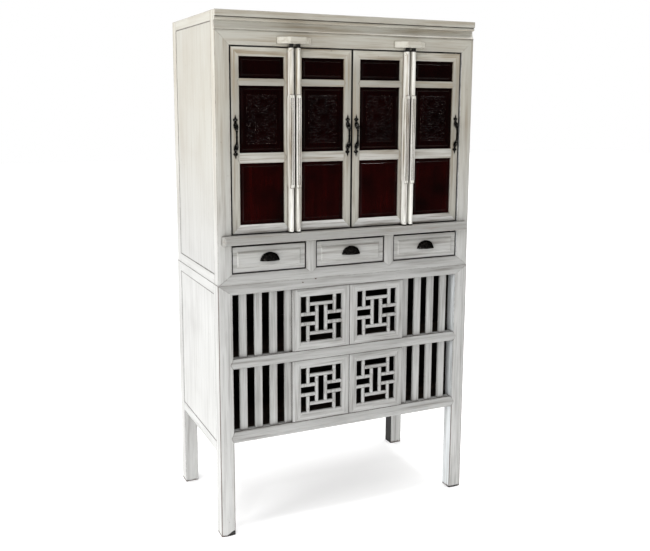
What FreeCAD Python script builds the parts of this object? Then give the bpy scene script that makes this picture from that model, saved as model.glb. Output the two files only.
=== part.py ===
import FreeCAD, Part
import math
import os

# Kitchen cabinet in two stacked cases, in millimetres.
# X runs to the right, Y to the back and Z up; the origin is on the floor under the middle.
# A setback is a distance behind the front plane of the frame.

os.makedirs("parts", exist_ok=True)
Vector = FreeCAD.Vector

# Whole cabinet
case_width = 1070.0
case_depth = 570.0
case_height = 1950.0
seam_height = 976.0
upper_inset = 2.0
bracket_reach = 45.0

# Fits
joint_clearance = 0.2
panel_clearance = 0.3
sliding_gap = 0.3
pin_clearance = 0.1
cut_overrun = 5.0

# Frame members
leg_width = 54.0
leg_depth = 54.0
post_width = 52.0
post_depth = 50.0
rail_depth = 40.0
shoulder_depth = 20.0
crown = 3.0
rail_crown = 7.0
shoulder_bite = 10.0
tenon_length = 24.0
tenon_thickness = 10.0
tenon_shoulder = 6.0

# Lower case, heights of its front members
foot_height = 367.0
bottom_rail_height = 42.0
middle_rail_height = 37.0
lower_top_rail_height = 37.0

# Upper case, heights of its front members
drawer_rail_height = 39.5
drawer_opening_height = 106.5
sill_height = 36.0
top_rail_height = 52.0
cove_height = 31.0
bead_height = 13.0
fascia_height = 22.0
divider_width = 40.0
divider_bite = 16.0
divider_tenon = 12.0

# Cornice and projecting sill
fascia_reach = 6.0
bead_reach = 2.0
cove_hollow = 11.0
sill_reach = 27.0
sill_nose_lift = 4.0
sill_end_inset = 15.0
sill_round = 5.0
sill_end_round = 12.0

# Side and back frames
side_rail_thickness = 30.0
side_rail_height = 36.0
side_tenon_length = 15.0
side_rail_drop = 37.0
back_rail_depth = 25.0
back_rail_height = 40.0
panel_thickness = 12.0
panel_recess = 0.8
panel_tongue = 8.0
tongue_thickness = 5.0

# Boards inside
board_thickness = 12.0
board_drop = 6.0
batten_size = 20.0
shelf_share = 0.4723
shelf_front = 60.0

# Fixed slats
slat_width = 29.0
slat_thickness = 10.0
slat_setback = 21.0
slat_count = 4
slat_housing = 4.0

# Sliding lattice doors
lattice_setback = 5.0
lattice_thickness = 14.0
lattice_gap = 1.0
lattice_edge_gap = 1.5
lattice_member = 32.0
lattice_crown = 3.0
track_tongue_setback = 12.0
track_tongue_thickness = 5.0
track_low_depth = 7.0
track_high_depth = 14.0
track_high_tongue = 7.0
bar_width = 12.3
bar_setback = 8.0
bar_thickness = 9.0
bar_crown = 2.0
bar_count = 4
bar_tenon = 4.0
bar_tenon_inset = 2.5

# Hinged doors
door_setback = 4.0
door_thickness = 20.0
door_side_gap = 5.0
door_centre_gap = 2.5
door_foot_gap = 4.0
door_top_gap = 4.0
door_crown = 2.5
door_layer = 8.0
free_stile_width = 31.0
hinge_stile_width = 13.0
door_rail_height = 33.0
upper_middle_rail_height = 25.0
lower_middle_rail_height = 37.0
door_bite = 7.0
door_tenon_length = 12.0
door_tenon_thickness = 6.0
edge_bevel_width = 3.0
edge_bevel_depth = 10.0

# Lacquered door panels, each with its share of the height that the rails leave
lower_panel_share = 0.4145
middle_panel_share = 0.4424
door_tongue_setback = 13.0
door_tongue = 6.0
door_field_setback = 9.0
door_field_margin = 9.5
door_field_bevel = 4.5

# Pivot poles and their brackets
pole_radius = 8.0
pole_setback = -13.0
pole_pair_gap = 11.0
pole_block_width = 20.0
pole_block_chamfer = 3.0
pole_block_shares = (0.2447, 0.7508)
pole_block_taper = 12.0
reed_count = 3
reed_width = 2.4
reed_depth = 1.6
pin_radius = 5.0
pin_length = 14.0
socket_spare = 3.0
bracket_lift = 9.0
bracket_thickness = 23.0
bracket_width = 130.0
bracket_front_width = 57.0
bracket_cheek = 10.0
bracket_tenon_width = 60.0

# Door pulls
pull_height_share = 0.5255
pull_spread = 57.0
pull_reach = 24.0
pull_grip_radius = 3.5
pull_plate_width = 20.0
pull_plate_height = 44.0
pull_plate_thickness = 3.0
stud_radius = 2.5
stud_length = 10.0

# Drawers
drawer_side_gap = 3.0
drawer_foot_gap = 3.0
drawer_top_gap = 6.0
drawer_field_setback = 3.0
drawer_front_setback = 7.0
drawer_front_thickness = 17.0
drawer_field_margin = 18.0
drawer_field_bevel = 6.0
drawer_wall = 10.0
drawer_wall_height = 82.0
drawer_back_room = 61.0
drawer_bottom_thickness = 6.0
drawer_bottom_lift = 6.0
drawer_groove = 5.0
drawer_housing = 8.0
guide_height = 25.0

# Drawer pulls
cup_width = 75.0
cup_height = 31.0
cup_reach = 22.0
cup_wall = 2.2
cup_drop = 10.4
cup_plate_margin = 1.2
cup_plate_thickness = 1.6
cup_stud_spread = 50.0
cup_stud_rise = 12.0

# Places worked out from the sizes above
front_y = bracket_reach - (case_depth + bracket_reach) / 2
lower_half = case_width / 2
upper_half = lower_half - upper_inset
lower_inner = lower_half - leg_width
upper_inner = upper_half - post_width

row_height = (seam_height - foot_height - bottom_rail_height - middle_rail_height
              - lower_top_rail_height) / 2
lower_row = foot_height + bottom_rail_height
middle_rail_low = lower_row + row_height
upper_row = middle_rail_low + middle_rail_height
lower_top_rail_low = upper_row + row_height
lower_side_rail_low = foot_height - side_rail_drop

drawer_opening_low = seam_height + drawer_rail_height
sill_low = drawer_opening_low + drawer_opening_height
sill_top = sill_low + sill_height
nose_low = sill_low + sill_nose_lift
band_height = bead_height + fascia_height
cove_low = case_height - band_height - cove_height
top_rail_low = cove_low - top_rail_height
bracket_low = top_rail_low + bracket_lift
shelf_top = seam_height + (case_height - seam_height) * shelf_share

board_back = case_depth - back_rail_depth - joint_clearance
door_low = sill_top + door_foot_gap
door_high = top_rail_low - door_top_gap
door_back = door_setback + door_thickness
door_height = door_high - door_low
rails_height = door_rail_height * 2 + upper_middle_rail_height + lower_middle_rail_height
panels_height = door_height - rails_height
lower_middle_rail_low = door_low + door_rail_height + panels_height * lower_panel_share
upper_middle_rail_low = (lower_middle_rail_low + lower_middle_rail_height
                         + panels_height * middle_panel_share)
pole_block_low, pole_block_high = [door_low + door_height * share for share in pole_block_shares]
pull_height = door_low + door_height * pull_height_share

lattice_reach = (lower_inner - joint_clearance) / 2 - lattice_gap
lattice_width = lattice_reach - lattice_gap
bay_width = (upper_inner * 2 - divider_width * 2) / 3
divider_place = (bay_width + divider_width) / 2
drawer_back = drawer_front_setback + drawer_front_thickness
drawer_depth = case_depth - back_rail_depth - drawer_back - drawer_back_room
cup_low = drawer_opening_low + drawer_opening_height / 2 - cup_drop
bead_back = bead_height / 2 - bead_reach
cove_middle_shares = (0.82, 0.42)

pair_centre = (upper_inner - door_side_gap + door_centre_gap) / 2
pole_offset = pole_pair_gap / 2 + pole_radius
pole_places = [side * pair_centre + turn * pole_offset for side in (-1, 1) for turn in (-1, 1)]
free_edge = door_side_gap - upper_inner
hinge_x = -pair_centre - pole_offset
panel_left = free_edge + free_stile_width
panel_right = hinge_x - pole_radius - hinge_stile_width
pull_x = free_edge + free_stile_width / 2


# A grown box is the pocket for a piece: it has room on every side but the foot, its seat
def box(x_low, x_high, front, back, z_low, z_high, grow=0):
    corner = Vector(x_low - grow, front_y + front - grow, z_low)
    return Part.makeBox(x_high - x_low + grow * 2, back - front + grow * 2,
                        z_high - z_low + grow, corner)


def without_repeats(corners):
    return [corner for index, corner in enumerate(corners) if corner != corners[index - 1]]


# A polygon seen from the front, made solid between two setbacks
def front_prism(corners, front, back):
    points = [Vector(x, front_y + front, z) for x, z in without_repeats(corners)]
    face = Part.Face(Part.makePolygon(points + points[:1]))
    return face.extrude(Vector(0, back - front, 0))


# A polygon seen from above, as pairs of X and setback
def plan_prism(corners, z_low, z_high):
    points = [Vector(x, front_y + setback, z_low) for x, setback in corners]
    face = Part.Face(Part.makePolygon(points + points[:1]))
    return face.extrude(Vector(0, 0, z_high - z_low))


# Each step is the end of a line, or the middle and the end of an arc
def outline_face(start, steps, place):
    edges = []
    here = start
    for step in steps:
        if len(step) == 1:
            edges.append(Part.LineSegment(place(here), place(step[0])).toShape())
        else:
            edges.append(Part.Arc(place(here), place(step[0]), place(step[1])).toShape())
        here = step[-1]
    return Part.Face(Part.Wire(edges))


def upright(x_low, x_high, z_low, z_high, front, back, rise):
    def place(point):
        return Vector(point[0], front_y + point[1], z_low)
    middle = (x_low + x_high) / 2
    steps = [((middle, front), (x_high, front + rise)), ((x_high, back),), ((x_low, back),),
             ((x_low, front + rise),)]
    face = outline_face((x_low, front + rise), steps, place)
    return face.extrude(Vector(0, 0, z_high - z_low))


def section_along_x(x_low, x_high, start, steps):
    def place(point):
        return Vector(x_low, front_y + point[0], point[1])
    return outline_face(start, steps, place).extrude(Vector(x_high - x_low, 0, 0))


def cross_bar(x_low, x_high, z_low, z_high, front, back, rise):
    middle = (z_low + z_high) / 2
    steps = [((front, middle), (front + rise, z_high)), ((back, z_high),), ((back, z_low),),
             ((front + rise, z_low),)]
    return section_along_x(x_low, x_high, (front + rise, z_low), steps)


def mirrored(shape, plane_x=0):
    return shape.mirror(Vector(plane_x, 0, 0), Vector(1, 0, 0))


def both_sides(shape):
    return [shape, mirrored(shape)]


def cut_all(shape, tools):
    for tool in tools:
        shape = shape.cut(tool)
    return shape.removeSplitter()


def joined(shape, others):
    for other in others:
        shape = shape.fuse(other)
    return shape.removeSplitter()


# A rectangle on one setback drawn in to a smaller one on another
def raised_field(x_low, x_high, z_low, z_high, bevel, base, top):
    def loop(inset, setback):
        corners = [(x_low + inset, z_low + inset), (x_high - inset, z_low + inset),
                   (x_high - inset, z_high - inset), (x_low + inset, z_high - inset)]
        points = [Vector(x, front_y + setback, z) for x, z in corners]
        return Part.makePolygon(points + points[:1])
    return Part.makeLoft([loop(0, base), loop(bevel, top)], True, True)


parts = {}


def keep(name, shapes):
    solids = [solid for shape in shapes for solid in shape.Solids]
    parts[name] = solids


# A front rail: its face layer runs over the posts as a mitre or a point, the rest butts and
# has a tenon. The shoulders give how far the face runs past the butt at its foot, middle and
# top. Returns the rail and what the left and right posts lose to it.
def front_rail(x_low, x_high, z_low, z_high, left, right, front=0, layer=shoulder_depth,
               back=rail_depth, rise=crown, tenon=tenon_length, thickness=tenon_thickness):
    middle = (z_low + z_high) / 2
    heights = (z_low, middle, z_high)
    left_edge = [(x_low - run, z) for run, z in zip(left, heights)]
    right_edge = [(x_high + run, z) for run, z in zip(right, heights)]
    far_left = x_low - max(left)
    far_right = x_high + max(right)
    face = cross_bar(far_left, far_right, z_low, z_high, front, layer, rise)
    outline = left_edge + right_edge[::-1]
    face = face.common(front_prism(outline, front - cut_overrun, layer))
    body = box(x_low, x_high, layer, back, z_low, z_high)
    tenon_front = (layer + back - thickness) / 2
    tongue_size = (tenon_front, tenon_front + thickness, z_low + tenon_shoulder,
                   z_high - tenon_shoulder)
    tongue = box(x_low - tenon, x_high + tenon, *tongue_size)
    rail = joined(face, [body, tongue])
    mortise = box(x_low - tenon, x_high + tenon, *tongue_size, grow=joint_clearance)
    left_cut = front_prism([(x_low, z_low)] + left_edge + [(x_low, z_high)],
                           front - cut_overrun, layer)
    right_cut = front_prism([(x_high, z_low)] + right_edge + [(x_high, z_high)],
                            front - cut_overrun, layer)
    return rail, [mortise, left_cut], [mortise, right_cut]


def mitre_up(width):
    return (0, width / 2, width)


def mitre_down(width):
    return (width, width / 2, 0)


def pointed(bite):
    return (0, bite, 0)


# Left side frame of one case: rails, flush panel and what the posts lose to them
def side_frame(half, depth, rail_spans, panel_low, panel_high):
    rail_front = depth
    rail_back = case_depth - depth
    inner_x = side_rail_thickness - half
    rails = []
    post_cuts = []
    for z_low, z_high in rail_spans:
        tenon_x = -half + (side_rail_thickness - tenon_thickness) / 2
        size = (tenon_x, tenon_x + tenon_thickness, rail_front - side_tenon_length,
                rail_back + side_tenon_length, z_low + tenon_shoulder, z_high - tenon_shoulder)
        rail = box(-half, inner_x, rail_front, rail_back, z_low, z_high)
        rails.append(rail.fuse(box(*size)).removeSplitter())
        post_cuts.append(box(*size, grow=joint_clearance))
    outer_x = panel_recess - half
    tongue_x = outer_x + (panel_thickness - tongue_thickness) / 2
    board = box(outer_x, outer_x + panel_thickness, rail_front, rail_back, panel_low, panel_high)
    size = (tongue_x, tongue_x + tongue_thickness, rail_front - panel_tongue,
            rail_back + panel_tongue, panel_low - panel_tongue, panel_high + panel_tongue)
    panel = board.fuse(box(*size)).removeSplitter()
    groove = box(*size, grow=panel_clearance)
    rails = [rail.cut(groove) for rail in rails]
    post_cuts.append(groove)
    return rails, panel, post_cuts


# Back frame of one case: rails between the back posts, with flush boards between the rails
def back_frame(inner, rail_lows, rail_heights):
    front = case_depth - back_rail_depth
    tenon_front = front + (back_rail_depth - tenon_thickness) / 2
    rails = []
    boards = []
    post_cuts = []
    grooves = []
    for low, height in zip(rail_lows, rail_heights):
        size = (-inner - side_tenon_length, inner + side_tenon_length, tenon_front,
                tenon_front + tenon_thickness, low + tenon_shoulder,
                low + height - tenon_shoulder)
        rail = box(-inner, inner, front, case_depth, low, low + height)
        rails.append(rail.fuse(box(*size)).removeSplitter())
        post_cuts.append(box(*size, grow=joint_clearance))
    board_front = case_depth - panel_recess - panel_thickness
    tongue_front = board_front + (panel_thickness - tongue_thickness) / 2
    for index in range(len(rail_lows) - 1):
        low = rail_lows[index] + rail_heights[index]
        high = rail_lows[index + 1]
        size = (-inner - panel_tongue, inner + panel_tongue, tongue_front,
                tongue_front + tongue_thickness, low - panel_tongue, high + panel_tongue)
        board = box(-inner, inner, board_front, board_front + panel_thickness, low, high)
        boards.append(board.fuse(box(*size)).removeSplitter())
        grooves.append(box(*size, grow=panel_clearance))
    rails = [cut_all(rail, grooves) for rail in rails]
    return rails, boards, post_cuts + grooves


# A level board that fills a case between its side panels, notched round the corner posts
def case_board(half, post_x, post_y, z_low, z_high, front=rail_depth + joint_clearance):
    edge = half - panel_recess - panel_thickness - joint_clearance
    board = box(-edge, edge, front, board_back, z_low, z_high)
    inner = half - post_x - joint_clearance
    front_notch = box(inner, half, 0, post_y + joint_clearance, z_low, z_high)
    back_notch = box(inner, half, case_depth - post_y - joint_clearance, case_depth,
                     z_low, z_high)
    return cut_all(board, both_sides(front_notch) + both_sides(back_notch))


def batten(half, post_y, under):
    outer = panel_recess + panel_thickness - half
    return box(outer, outer + batten_size, post_y, case_depth - post_y, under - batten_size,
               under)


# Lower case: front rails
def make_lower_rails():
    cuts = []
    top_rail, left_cut, right_cut = front_rail(
        -lower_inner, lower_inner, lower_top_rail_low, seam_height,
        mitre_up(leg_width), mitre_up(leg_width))
    cuts += left_cut
    middle_rail, left_cut, right_cut = front_rail(
        -lower_inner, lower_inner, middle_rail_low, upper_row,
        pointed(shoulder_bite), pointed(shoulder_bite), rise=rail_crown)
    cuts += left_cut
    bottom_rail, left_cut, right_cut = front_rail(
        -lower_inner, lower_inner, foot_height, lower_row,
        pointed(shoulder_bite), pointed(shoulder_bite), rise=rail_crown)
    cuts += left_cut
    housings = row_housings(lower_row) + row_housings(upper_row)
    keep("lower_top_rail", [cut_all(top_rail, housings)])
    keep("lower_middle_rail", [cut_all(middle_rail, housings)])
    keep("lower_bottom_rail", [cut_all(bottom_rail, housings)])
    return cuts


def slat_places():
    outer_end = lower_inner
    inner_end = lattice_reach
    pitch = (outer_end - inner_end) / slat_count
    lows = []
    for index in range(slat_count):
        high = -inner_end - index * pitch
        lows.append(high - slat_width)
    return lows


def slat(x_low, row_low, grow=0):
    return box(x_low, x_low + slat_width, slat_setback, slat_setback + slat_thickness,
               row_low - slat_housing, row_low + row_height + slat_housing, grow=grow)


# What one row takes out of the rails above and below it: slat housings and door tracks
def row_housings(row_low):
    tools = []
    for x_low in slat_places():
        tools += both_sides(slat(x_low, row_low, grow=joint_clearance))
    front = track_tongue_setback - sliding_gap
    back = track_tongue_setback + track_tongue_thickness + sliding_gap
    tools.append(box(-lower_inner, lower_inner, front, back, row_low - track_low_depth,
                     row_low + row_height + track_high_depth))
    return tools


def make_slats():
    for name, row_low in (("lower_row_slats", lower_row), ("upper_row_slats", upper_row)):
        slats = []
        for x_low in slat_places():
            slats += both_sides(slat(x_low, row_low))
        keep(name, slats)


# Lower case: legs, sides, back and boards
def make_lower_case():
    front_cuts = make_lower_rails()
    side_spans = [(lower_side_rail_low, lower_side_rail_low + side_rail_height),
                  (seam_height - side_rail_height, seam_height)]
    rails, panel, side_cuts = side_frame(lower_half, leg_depth, side_spans,
                                         side_spans[0][1], side_spans[1][0])
    rail_lows = [foot_height, middle_rail_low, seam_height - back_rail_height]
    rail_heights = [bottom_rail_height, middle_rail_height, back_rail_height]
    back_rails, back_boards, back_cuts = back_frame(lower_inner, rail_lows, rail_heights)

    top_board_low = seam_height - board_thickness
    top_board = case_board(lower_half, leg_width, leg_depth, top_board_low, seam_height)
    edge = lower_half - panel_recess - panel_thickness
    rebate = box(-edge, edge, leg_depth, case_depth - leg_depth,
                 top_board_low, seam_height)
    rails[1] = rails[1].cut(rebate)

    front_leg = upright(-lower_half, -lower_inner, 0, seam_height, 0, leg_depth, crown)
    front_leg = cut_all(front_leg, front_cuts + side_cuts)
    back_leg = box(-lower_half, -lower_inner, case_depth - leg_depth, case_depth, 0, seam_height)
    back_leg = cut_all(back_leg, side_cuts + back_cuts)
    keep("front_left_leg", [front_leg])
    keep("front_right_leg", [mirrored(front_leg)])
    keep("back_left_leg", [back_leg])
    keep("back_right_leg", [mirrored(back_leg)])

    keep("lower_side_rails", [shape for rail in rails for shape in both_sides(rail)])
    keep("lower_side_panels", both_sides(panel))
    keep("lower_back_rails", back_rails)
    keep("lower_back_panels", back_boards)
    keep("lower_top_board", [top_board])
    for name, top in (("lower_floor", lower_row - board_drop), ("lower_shelf", upper_row - board_drop)):
        keep(name, [case_board(lower_half, leg_width, leg_depth, top - board_thickness, top)])


# Sliding lattice door at the left of the middle, in the row that starts at row_low
def lattice_door(row_low):
    x_high = -lattice_gap
    x_low = x_high - lattice_width
    z_low = row_low + lattice_edge_gap
    z_high = row_low + row_height - lattice_edge_gap
    front = lattice_setback
    back = lattice_setback + lattice_thickness
    run = (lattice_member, lattice_member / 2, 0)
    inner_x = (x_low + lattice_member, x_high - lattice_member)
    inner_z = (z_low + lattice_member, z_high - lattice_member)

    def rail(low, high, shoulders):
        bar = cross_bar(x_low, x_high, low, high, front, back, lattice_crown)
        edges = [(inner_x[0] - run, z) for run, z in zip(shoulders, (low, (low + high) / 2, high))]
        far = [(inner_x[1] + inner_x[0] - x, z) for x, z in edges]
        return bar.common(front_prism(edges + far[::-1], front, back))

    bottom = rail(z_low, inner_z[0], run)
    top = rail(inner_z[1], z_high, run[::-1])
    tongue_back = track_tongue_setback + track_tongue_thickness
    low_tongue = box(x_low, x_high, track_tongue_setback, tongue_back,
                     row_low - track_low_depth + sliding_gap, z_low)
    high_tongue = box(x_low, x_high, track_tongue_setback, tongue_back, z_high,
                      row_low + row_height + track_high_tongue)
    bottom = joined(bottom, [low_tongue])
    top = joined(top, [high_tongue])
    stile = upright(x_low, inner_x[0], z_low, z_high, front, back, lattice_crown)
    corners = [(x_low, z_low), (inner_x[0], inner_z[0]), (inner_x[0], inner_z[1]), (x_low, z_high)]
    left_stile = stile.common(front_prism(corners, front, back))
    right_stile = mirrored(left_stile, (x_low + x_high) / 2)
    members = [left_stile, right_stile, bottom, top]
    bars, tenons, mortises = lattice_bars(inner_x, inner_z)
    members = [cut_all(member, mortises) for member in members]
    for index, bar in enumerate(bars):
        others = [tool for place, tool in enumerate(mortises) if place != index]
        members.append(cut_all(joined(bar, [tenons[index]]), others))
    return members


# The lattice: each bar stops against another, in a pattern of four bars each way
def lattice_bars(inner_x, inner_z):
    def centres(low, high):
        cell = (high - low - bar_count * bar_width) / (bar_count + 1)
        return [low + cell * (index + 1) + bar_width * (index + 1 / 2)
                for index in range(bar_count)]

    columns = centres(*inner_x)
    rows = centres(*inner_z)
    half = bar_width / 2
    back = bar_setback + bar_thickness

    grip = half - bar_tenon_inset
    tenon_span = (bar_setback + bar_tenon_inset, back - bar_tenon_inset)
    bars = []
    tenons = []
    mortises = []

    def add(bar, x_low, x_high, z_low, z_high):
        bars.append(bar)
        tenons.append(box(x_low, x_high, *tenon_span, z_low, z_high))
        mortises.append(box(x_low, x_high, *tenon_span, z_low, z_high, grow=joint_clearance))

    def column(index, low, high):
        x = columns[index]
        add(upright(x - half, x + half, low, high, bar_setback, back, bar_crown),
            x - grip, x + grip, low - bar_tenon, high + bar_tenon)

    def row(index, low, high):
        z = rows[index]
        add(cross_bar(low, high, z - half, z + half, bar_setback, back, bar_crown),
            low - bar_tenon, high + bar_tenon, z - grip, z + grip)

    for index in (0, 3):
        column(index, inner_z[0], rows[1] - half)
        column(index, rows[2] + half, inner_z[1])
        row(index, columns[0] + half, columns[3] - half)
    for index in (1, 2):
        column(index, rows[0] + half, rows[3] - half)
        row(index, inner_x[0], columns[1] - half)
        row(index, columns[2] + half, inner_x[1])
    return bars, tenons, mortises


def make_lattice_doors():
    for row_name, row_low in (("lower", lower_row), ("upper", upper_row)):
        door = lattice_door(row_low)
        keep(row_name + "_left_lattice_door", door)
        keep(row_name + "_right_lattice_door", [mirrored(shape) for shape in door])


# Upper case: front rails, sill bar, dividers and cornice
def make_upper_rails():
    cuts = []
    top_rail, left_cut, right_cut = front_rail(
        -upper_inner, upper_inner, top_rail_low, cove_low,
        mitre_up(post_width), mitre_up(post_width))
    cuts += left_cut
    upstand = box(-upper_inner, upper_inner, shoulder_depth, rail_depth, cove_low,
                  case_height - fascia_height)
    seats = [bracket_seat(centre) for centre in (-pair_centre, pair_centre)]
    top_rail = cut_all(joined(top_rail, [upstand]), [cut for seat in seats for cut in seat])
    keep("upper_top_rail", [top_rail])

    drawer_rail, left_cut, right_cut = front_rail(
        -upper_inner, upper_inner, seam_height, drawer_opening_low,
        mitre_down(post_width), mitre_down(post_width))
    cuts += left_cut
    dividers = []
    feet = []
    for centre in (-divider_place, divider_place):
        divider, foot = drawer_divider(centre)
        dividers.append(divider)
        feet += foot
    keep("drawer_rail", [cut_all(drawer_rail, feet)])
    keep("drawer_dividers", dividers)

    sill, sill_cuts = sill_bar()
    keep("sill_bar", [cut_all(sill, feet)])
    return cuts + sill_cuts


def drawer_divider(centre):
    low_x = centre - divider_width / 2
    high_x = centre + divider_width / 2
    post = upright(low_x, high_x, drawer_opening_low - divider_bite, sill_low, 0,
                   rail_depth, crown)
    outline = [(low_x, drawer_opening_low), (centre, drawer_opening_low - divider_bite),
               (high_x, drawer_opening_low), (high_x, sill_low), (low_x, sill_low)]
    layer = post.common(front_prism(outline, 0, shoulder_depth))
    body = box(low_x, high_x, shoulder_depth, rail_depth, drawer_opening_low, sill_low)
    foot = front_prism(outline[:3], -cut_overrun, shoulder_depth)
    size = divider_tenon_size(centre)
    return joined(layer, [body, box(*size)]), [foot, box(*size, grow=joint_clearance)]


def divider_tenon_size(centre):
    tenon_front = (shoulder_depth + rail_depth - tenon_thickness) / 2
    return (centre - divider_width / 2 + tenon_shoulder, centre + divider_width / 2 - tenon_shoulder,
            tenon_front, tenon_front + tenon_thickness, drawer_opening_low - divider_tenon,
            sill_low + divider_tenon)


def sill_bar():
    round_middle = sill_round * (1 - math.sqrt(1 / 2))
    nose_front = -sill_reach
    start = (crown, nose_low)
    steps = [((nose_front + sill_round, nose_low),),
             ((nose_front + round_middle, nose_low + round_middle),
              (nose_front, nose_low + sill_round)),
             ((nose_front, sill_top - sill_round),),
             ((nose_front + round_middle, sill_top - round_middle),
              (nose_front + sill_round, sill_top)),
             ((crown, sill_top),),
             (start,)]
    end_x = upper_half - sill_end_inset
    nose = section_along_x(-end_x, end_x, start, steps)
    nose = nose.common(rounded_plan(end_x, nose_front, crown, sill_end_round))
    body = box(-upper_inner, upper_inner, 0, rail_depth, sill_low, sill_top)
    tenon_front = shoulder_depth + (rail_depth - shoulder_depth - tenon_thickness) / 2
    size = (-upper_inner - tenon_length, upper_inner + tenon_length, tenon_front,
            tenon_front + tenon_thickness, sill_low + tenon_shoulder, sill_top - tenon_shoulder)
    bar = joined(nose, [body, box(*size)])
    sockets = []
    for pole_x in pole_places:
        sockets.append(Part.makeCylinder(pin_radius + pin_clearance, pin_length + socket_spare,
                                         Vector(pole_x, front_y + pole_setback,
                                                sill_top - pin_length - socket_spare)))
    housing = box(-end_x, -upper_inner, -cut_overrun, crown, nose_low, sill_top)
    return cut_all(bar, sockets), [housing, box(*size, grow=joint_clearance)]


# A plan with its two front corners rounded
def rounded_plan(end_x, front, back, radius):
    def place(point):
        return Vector(point[0], front_y + point[1], sill_low)
    middle = radius * (1 - math.sqrt(1 / 2))
    start = (-end_x, back)
    steps = [((-end_x, front + radius),),
             ((-end_x + middle, front + middle), (-end_x + radius, front)),
             ((end_x - radius, front),),
             ((end_x - middle, front + middle), (end_x, front + radius)),
             ((end_x, back),),
             (start,)]
    return outline_face(start, steps, place).extrude(Vector(0, 0, sill_height))


def make_cornice():
    back = shoulder_depth
    bead_low = case_height - band_height
    fascia_low = case_height - fascia_height
    back_share, height_share = cove_middle_shares
    cove_middle = (cove_hollow * back_share, cove_low + cove_height * height_share)
    start = (back, cove_low)
    steps = [((0, cove_low),),
             (cove_middle, (cove_hollow, bead_low)),
             ((bead_back, bead_low),),
             ((-bead_reach, (bead_low + fascia_low) / 2), (bead_back, fascia_low)),
             ((-fascia_reach, fascia_low),),
             ((-fascia_reach, case_height),),
             ((back, case_height),),
             (start,)]
    keep("cornice", [section_along_x(-upper_half, upper_half, start, steps)])


# The bracket sits flat on the rail, so the rail's rounded face is cut back behind it
def bracket_seat(centre):
    high = bracket_low + bracket_thickness
    flat = box(centre - bracket_width / 2, centre + bracket_width / 2, -cut_overrun, crown,
               bracket_low, high)
    return [flat, bracket_tenon(centre, joint_clearance)]


def bracket_tenon(centre, grow=0):
    return box(centre - bracket_tenon_width / 2, centre + bracket_tenon_width / 2, crown,
               shoulder_depth, bracket_low + tenon_shoulder,
               bracket_low + bracket_thickness - tenon_shoulder, grow=grow)


def make_brackets():
    for name, centre in (("left_pivot_bracket", -pair_centre), ("right_pivot_bracket", pair_centre)):
        half = bracket_width / 2
        front_half = bracket_front_width / 2
        plan = [(centre - half, crown), (centre - half, -bracket_cheek),
                (centre - front_half, -bracket_reach), (centre + front_half, -bracket_reach),
                (centre + half, -bracket_cheek), (centre + half, crown)]
        bracket = plan_prism(plan, bracket_low, bracket_low + bracket_thickness)
        bracket = joined(bracket, [bracket_tenon(centre)])
        for pole_x in (centre - pole_offset, centre + pole_offset):
            socket = Part.makeCylinder(pin_radius + pin_clearance, pin_length + socket_spare,
                                       Vector(pole_x, front_y + pole_setback, bracket_low))
            bracket = bracket.cut(socket)
        keep(name, [bracket])


# Upper case: posts, sides, back and boards
def make_upper_case():
    front_cuts = make_upper_rails()
    front_cuts.append(box(-upper_half, -upper_inner, -cut_overrun, shoulder_depth, cove_low,
                          case_height))
    band_low = case_height - band_height
    side_spans = [(seam_height, seam_height + side_rail_height), (band_low, case_height)]
    rails, panel, side_cuts = side_frame(upper_half, post_depth, side_spans,
                                         side_spans[0][1], band_low)
    rail_lows = [seam_height, shelf_top - board_drop,
                 case_height - back_rail_height - board_thickness]
    rail_heights = [drawer_rail_height, back_rail_height, back_rail_height + board_thickness]
    back_rails, back_boards, back_cuts = back_frame(upper_inner, rail_lows, rail_heights)

    drawer_floor_low = drawer_opening_low - board_thickness
    edge = upper_half - panel_recess - panel_thickness
    floor_rebate = box(-edge, edge, post_depth, case_depth - post_depth,
                       drawer_floor_low, drawer_opening_low)
    rails[0] = rails[0].cut(floor_rebate)
    top_low = case_height - fascia_height
    top_rebate = box(-edge, edge, post_depth, case_depth - post_depth,
                     top_low, case_height)
    rails[1] = rails[1].cut(top_rebate)

    front_post = upright(-upper_half, -upper_inner, seam_height, case_height, 0, post_depth, crown)
    front_post = cut_all(front_post, front_cuts + side_cuts)
    back_post = box(-upper_half, -upper_inner, case_depth - post_depth, case_depth,
                    seam_height, case_height)
    back_post = cut_all(back_post, side_cuts + back_cuts)
    keep("upper_front_posts", both_sides(front_post))
    keep("upper_back_posts", both_sides(back_post))
    keep("upper_side_rails", [shape for rail in rails for shape in both_sides(rail)])
    keep("upper_side_panels", both_sides(panel))
    keep("upper_back_rails", back_rails)
    keep("upper_back_panels", back_boards)

    keep("drawer_floor", [case_board(upper_half, post_width, post_depth, drawer_floor_low,
                                     drawer_opening_low)])
    keep("cupboard_floor", [case_board(upper_half, post_width, post_depth,
                                       sill_top - board_thickness, sill_top)])
    keep("cupboard_shelf", [case_board(upper_half, post_width, post_depth,
                                       shelf_top - board_thickness, shelf_top,
                                       front=shelf_front)])
    keep("top_board", [case_board(upper_half, post_width, post_depth, top_low, case_height,
                                  front=shoulder_depth + joint_clearance)])
    make_cornice()
    make_brackets()


def make_battens():
    battens = []
    for top in (lower_row - board_drop, upper_row - board_drop):
        battens += both_sides(batten(lower_half, leg_depth, top - board_thickness))
    for top in (sill_top, shelf_top):
        battens += both_sides(batten(upper_half, post_depth, top - board_thickness))
    keep("shelf_battens", battens)


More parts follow.
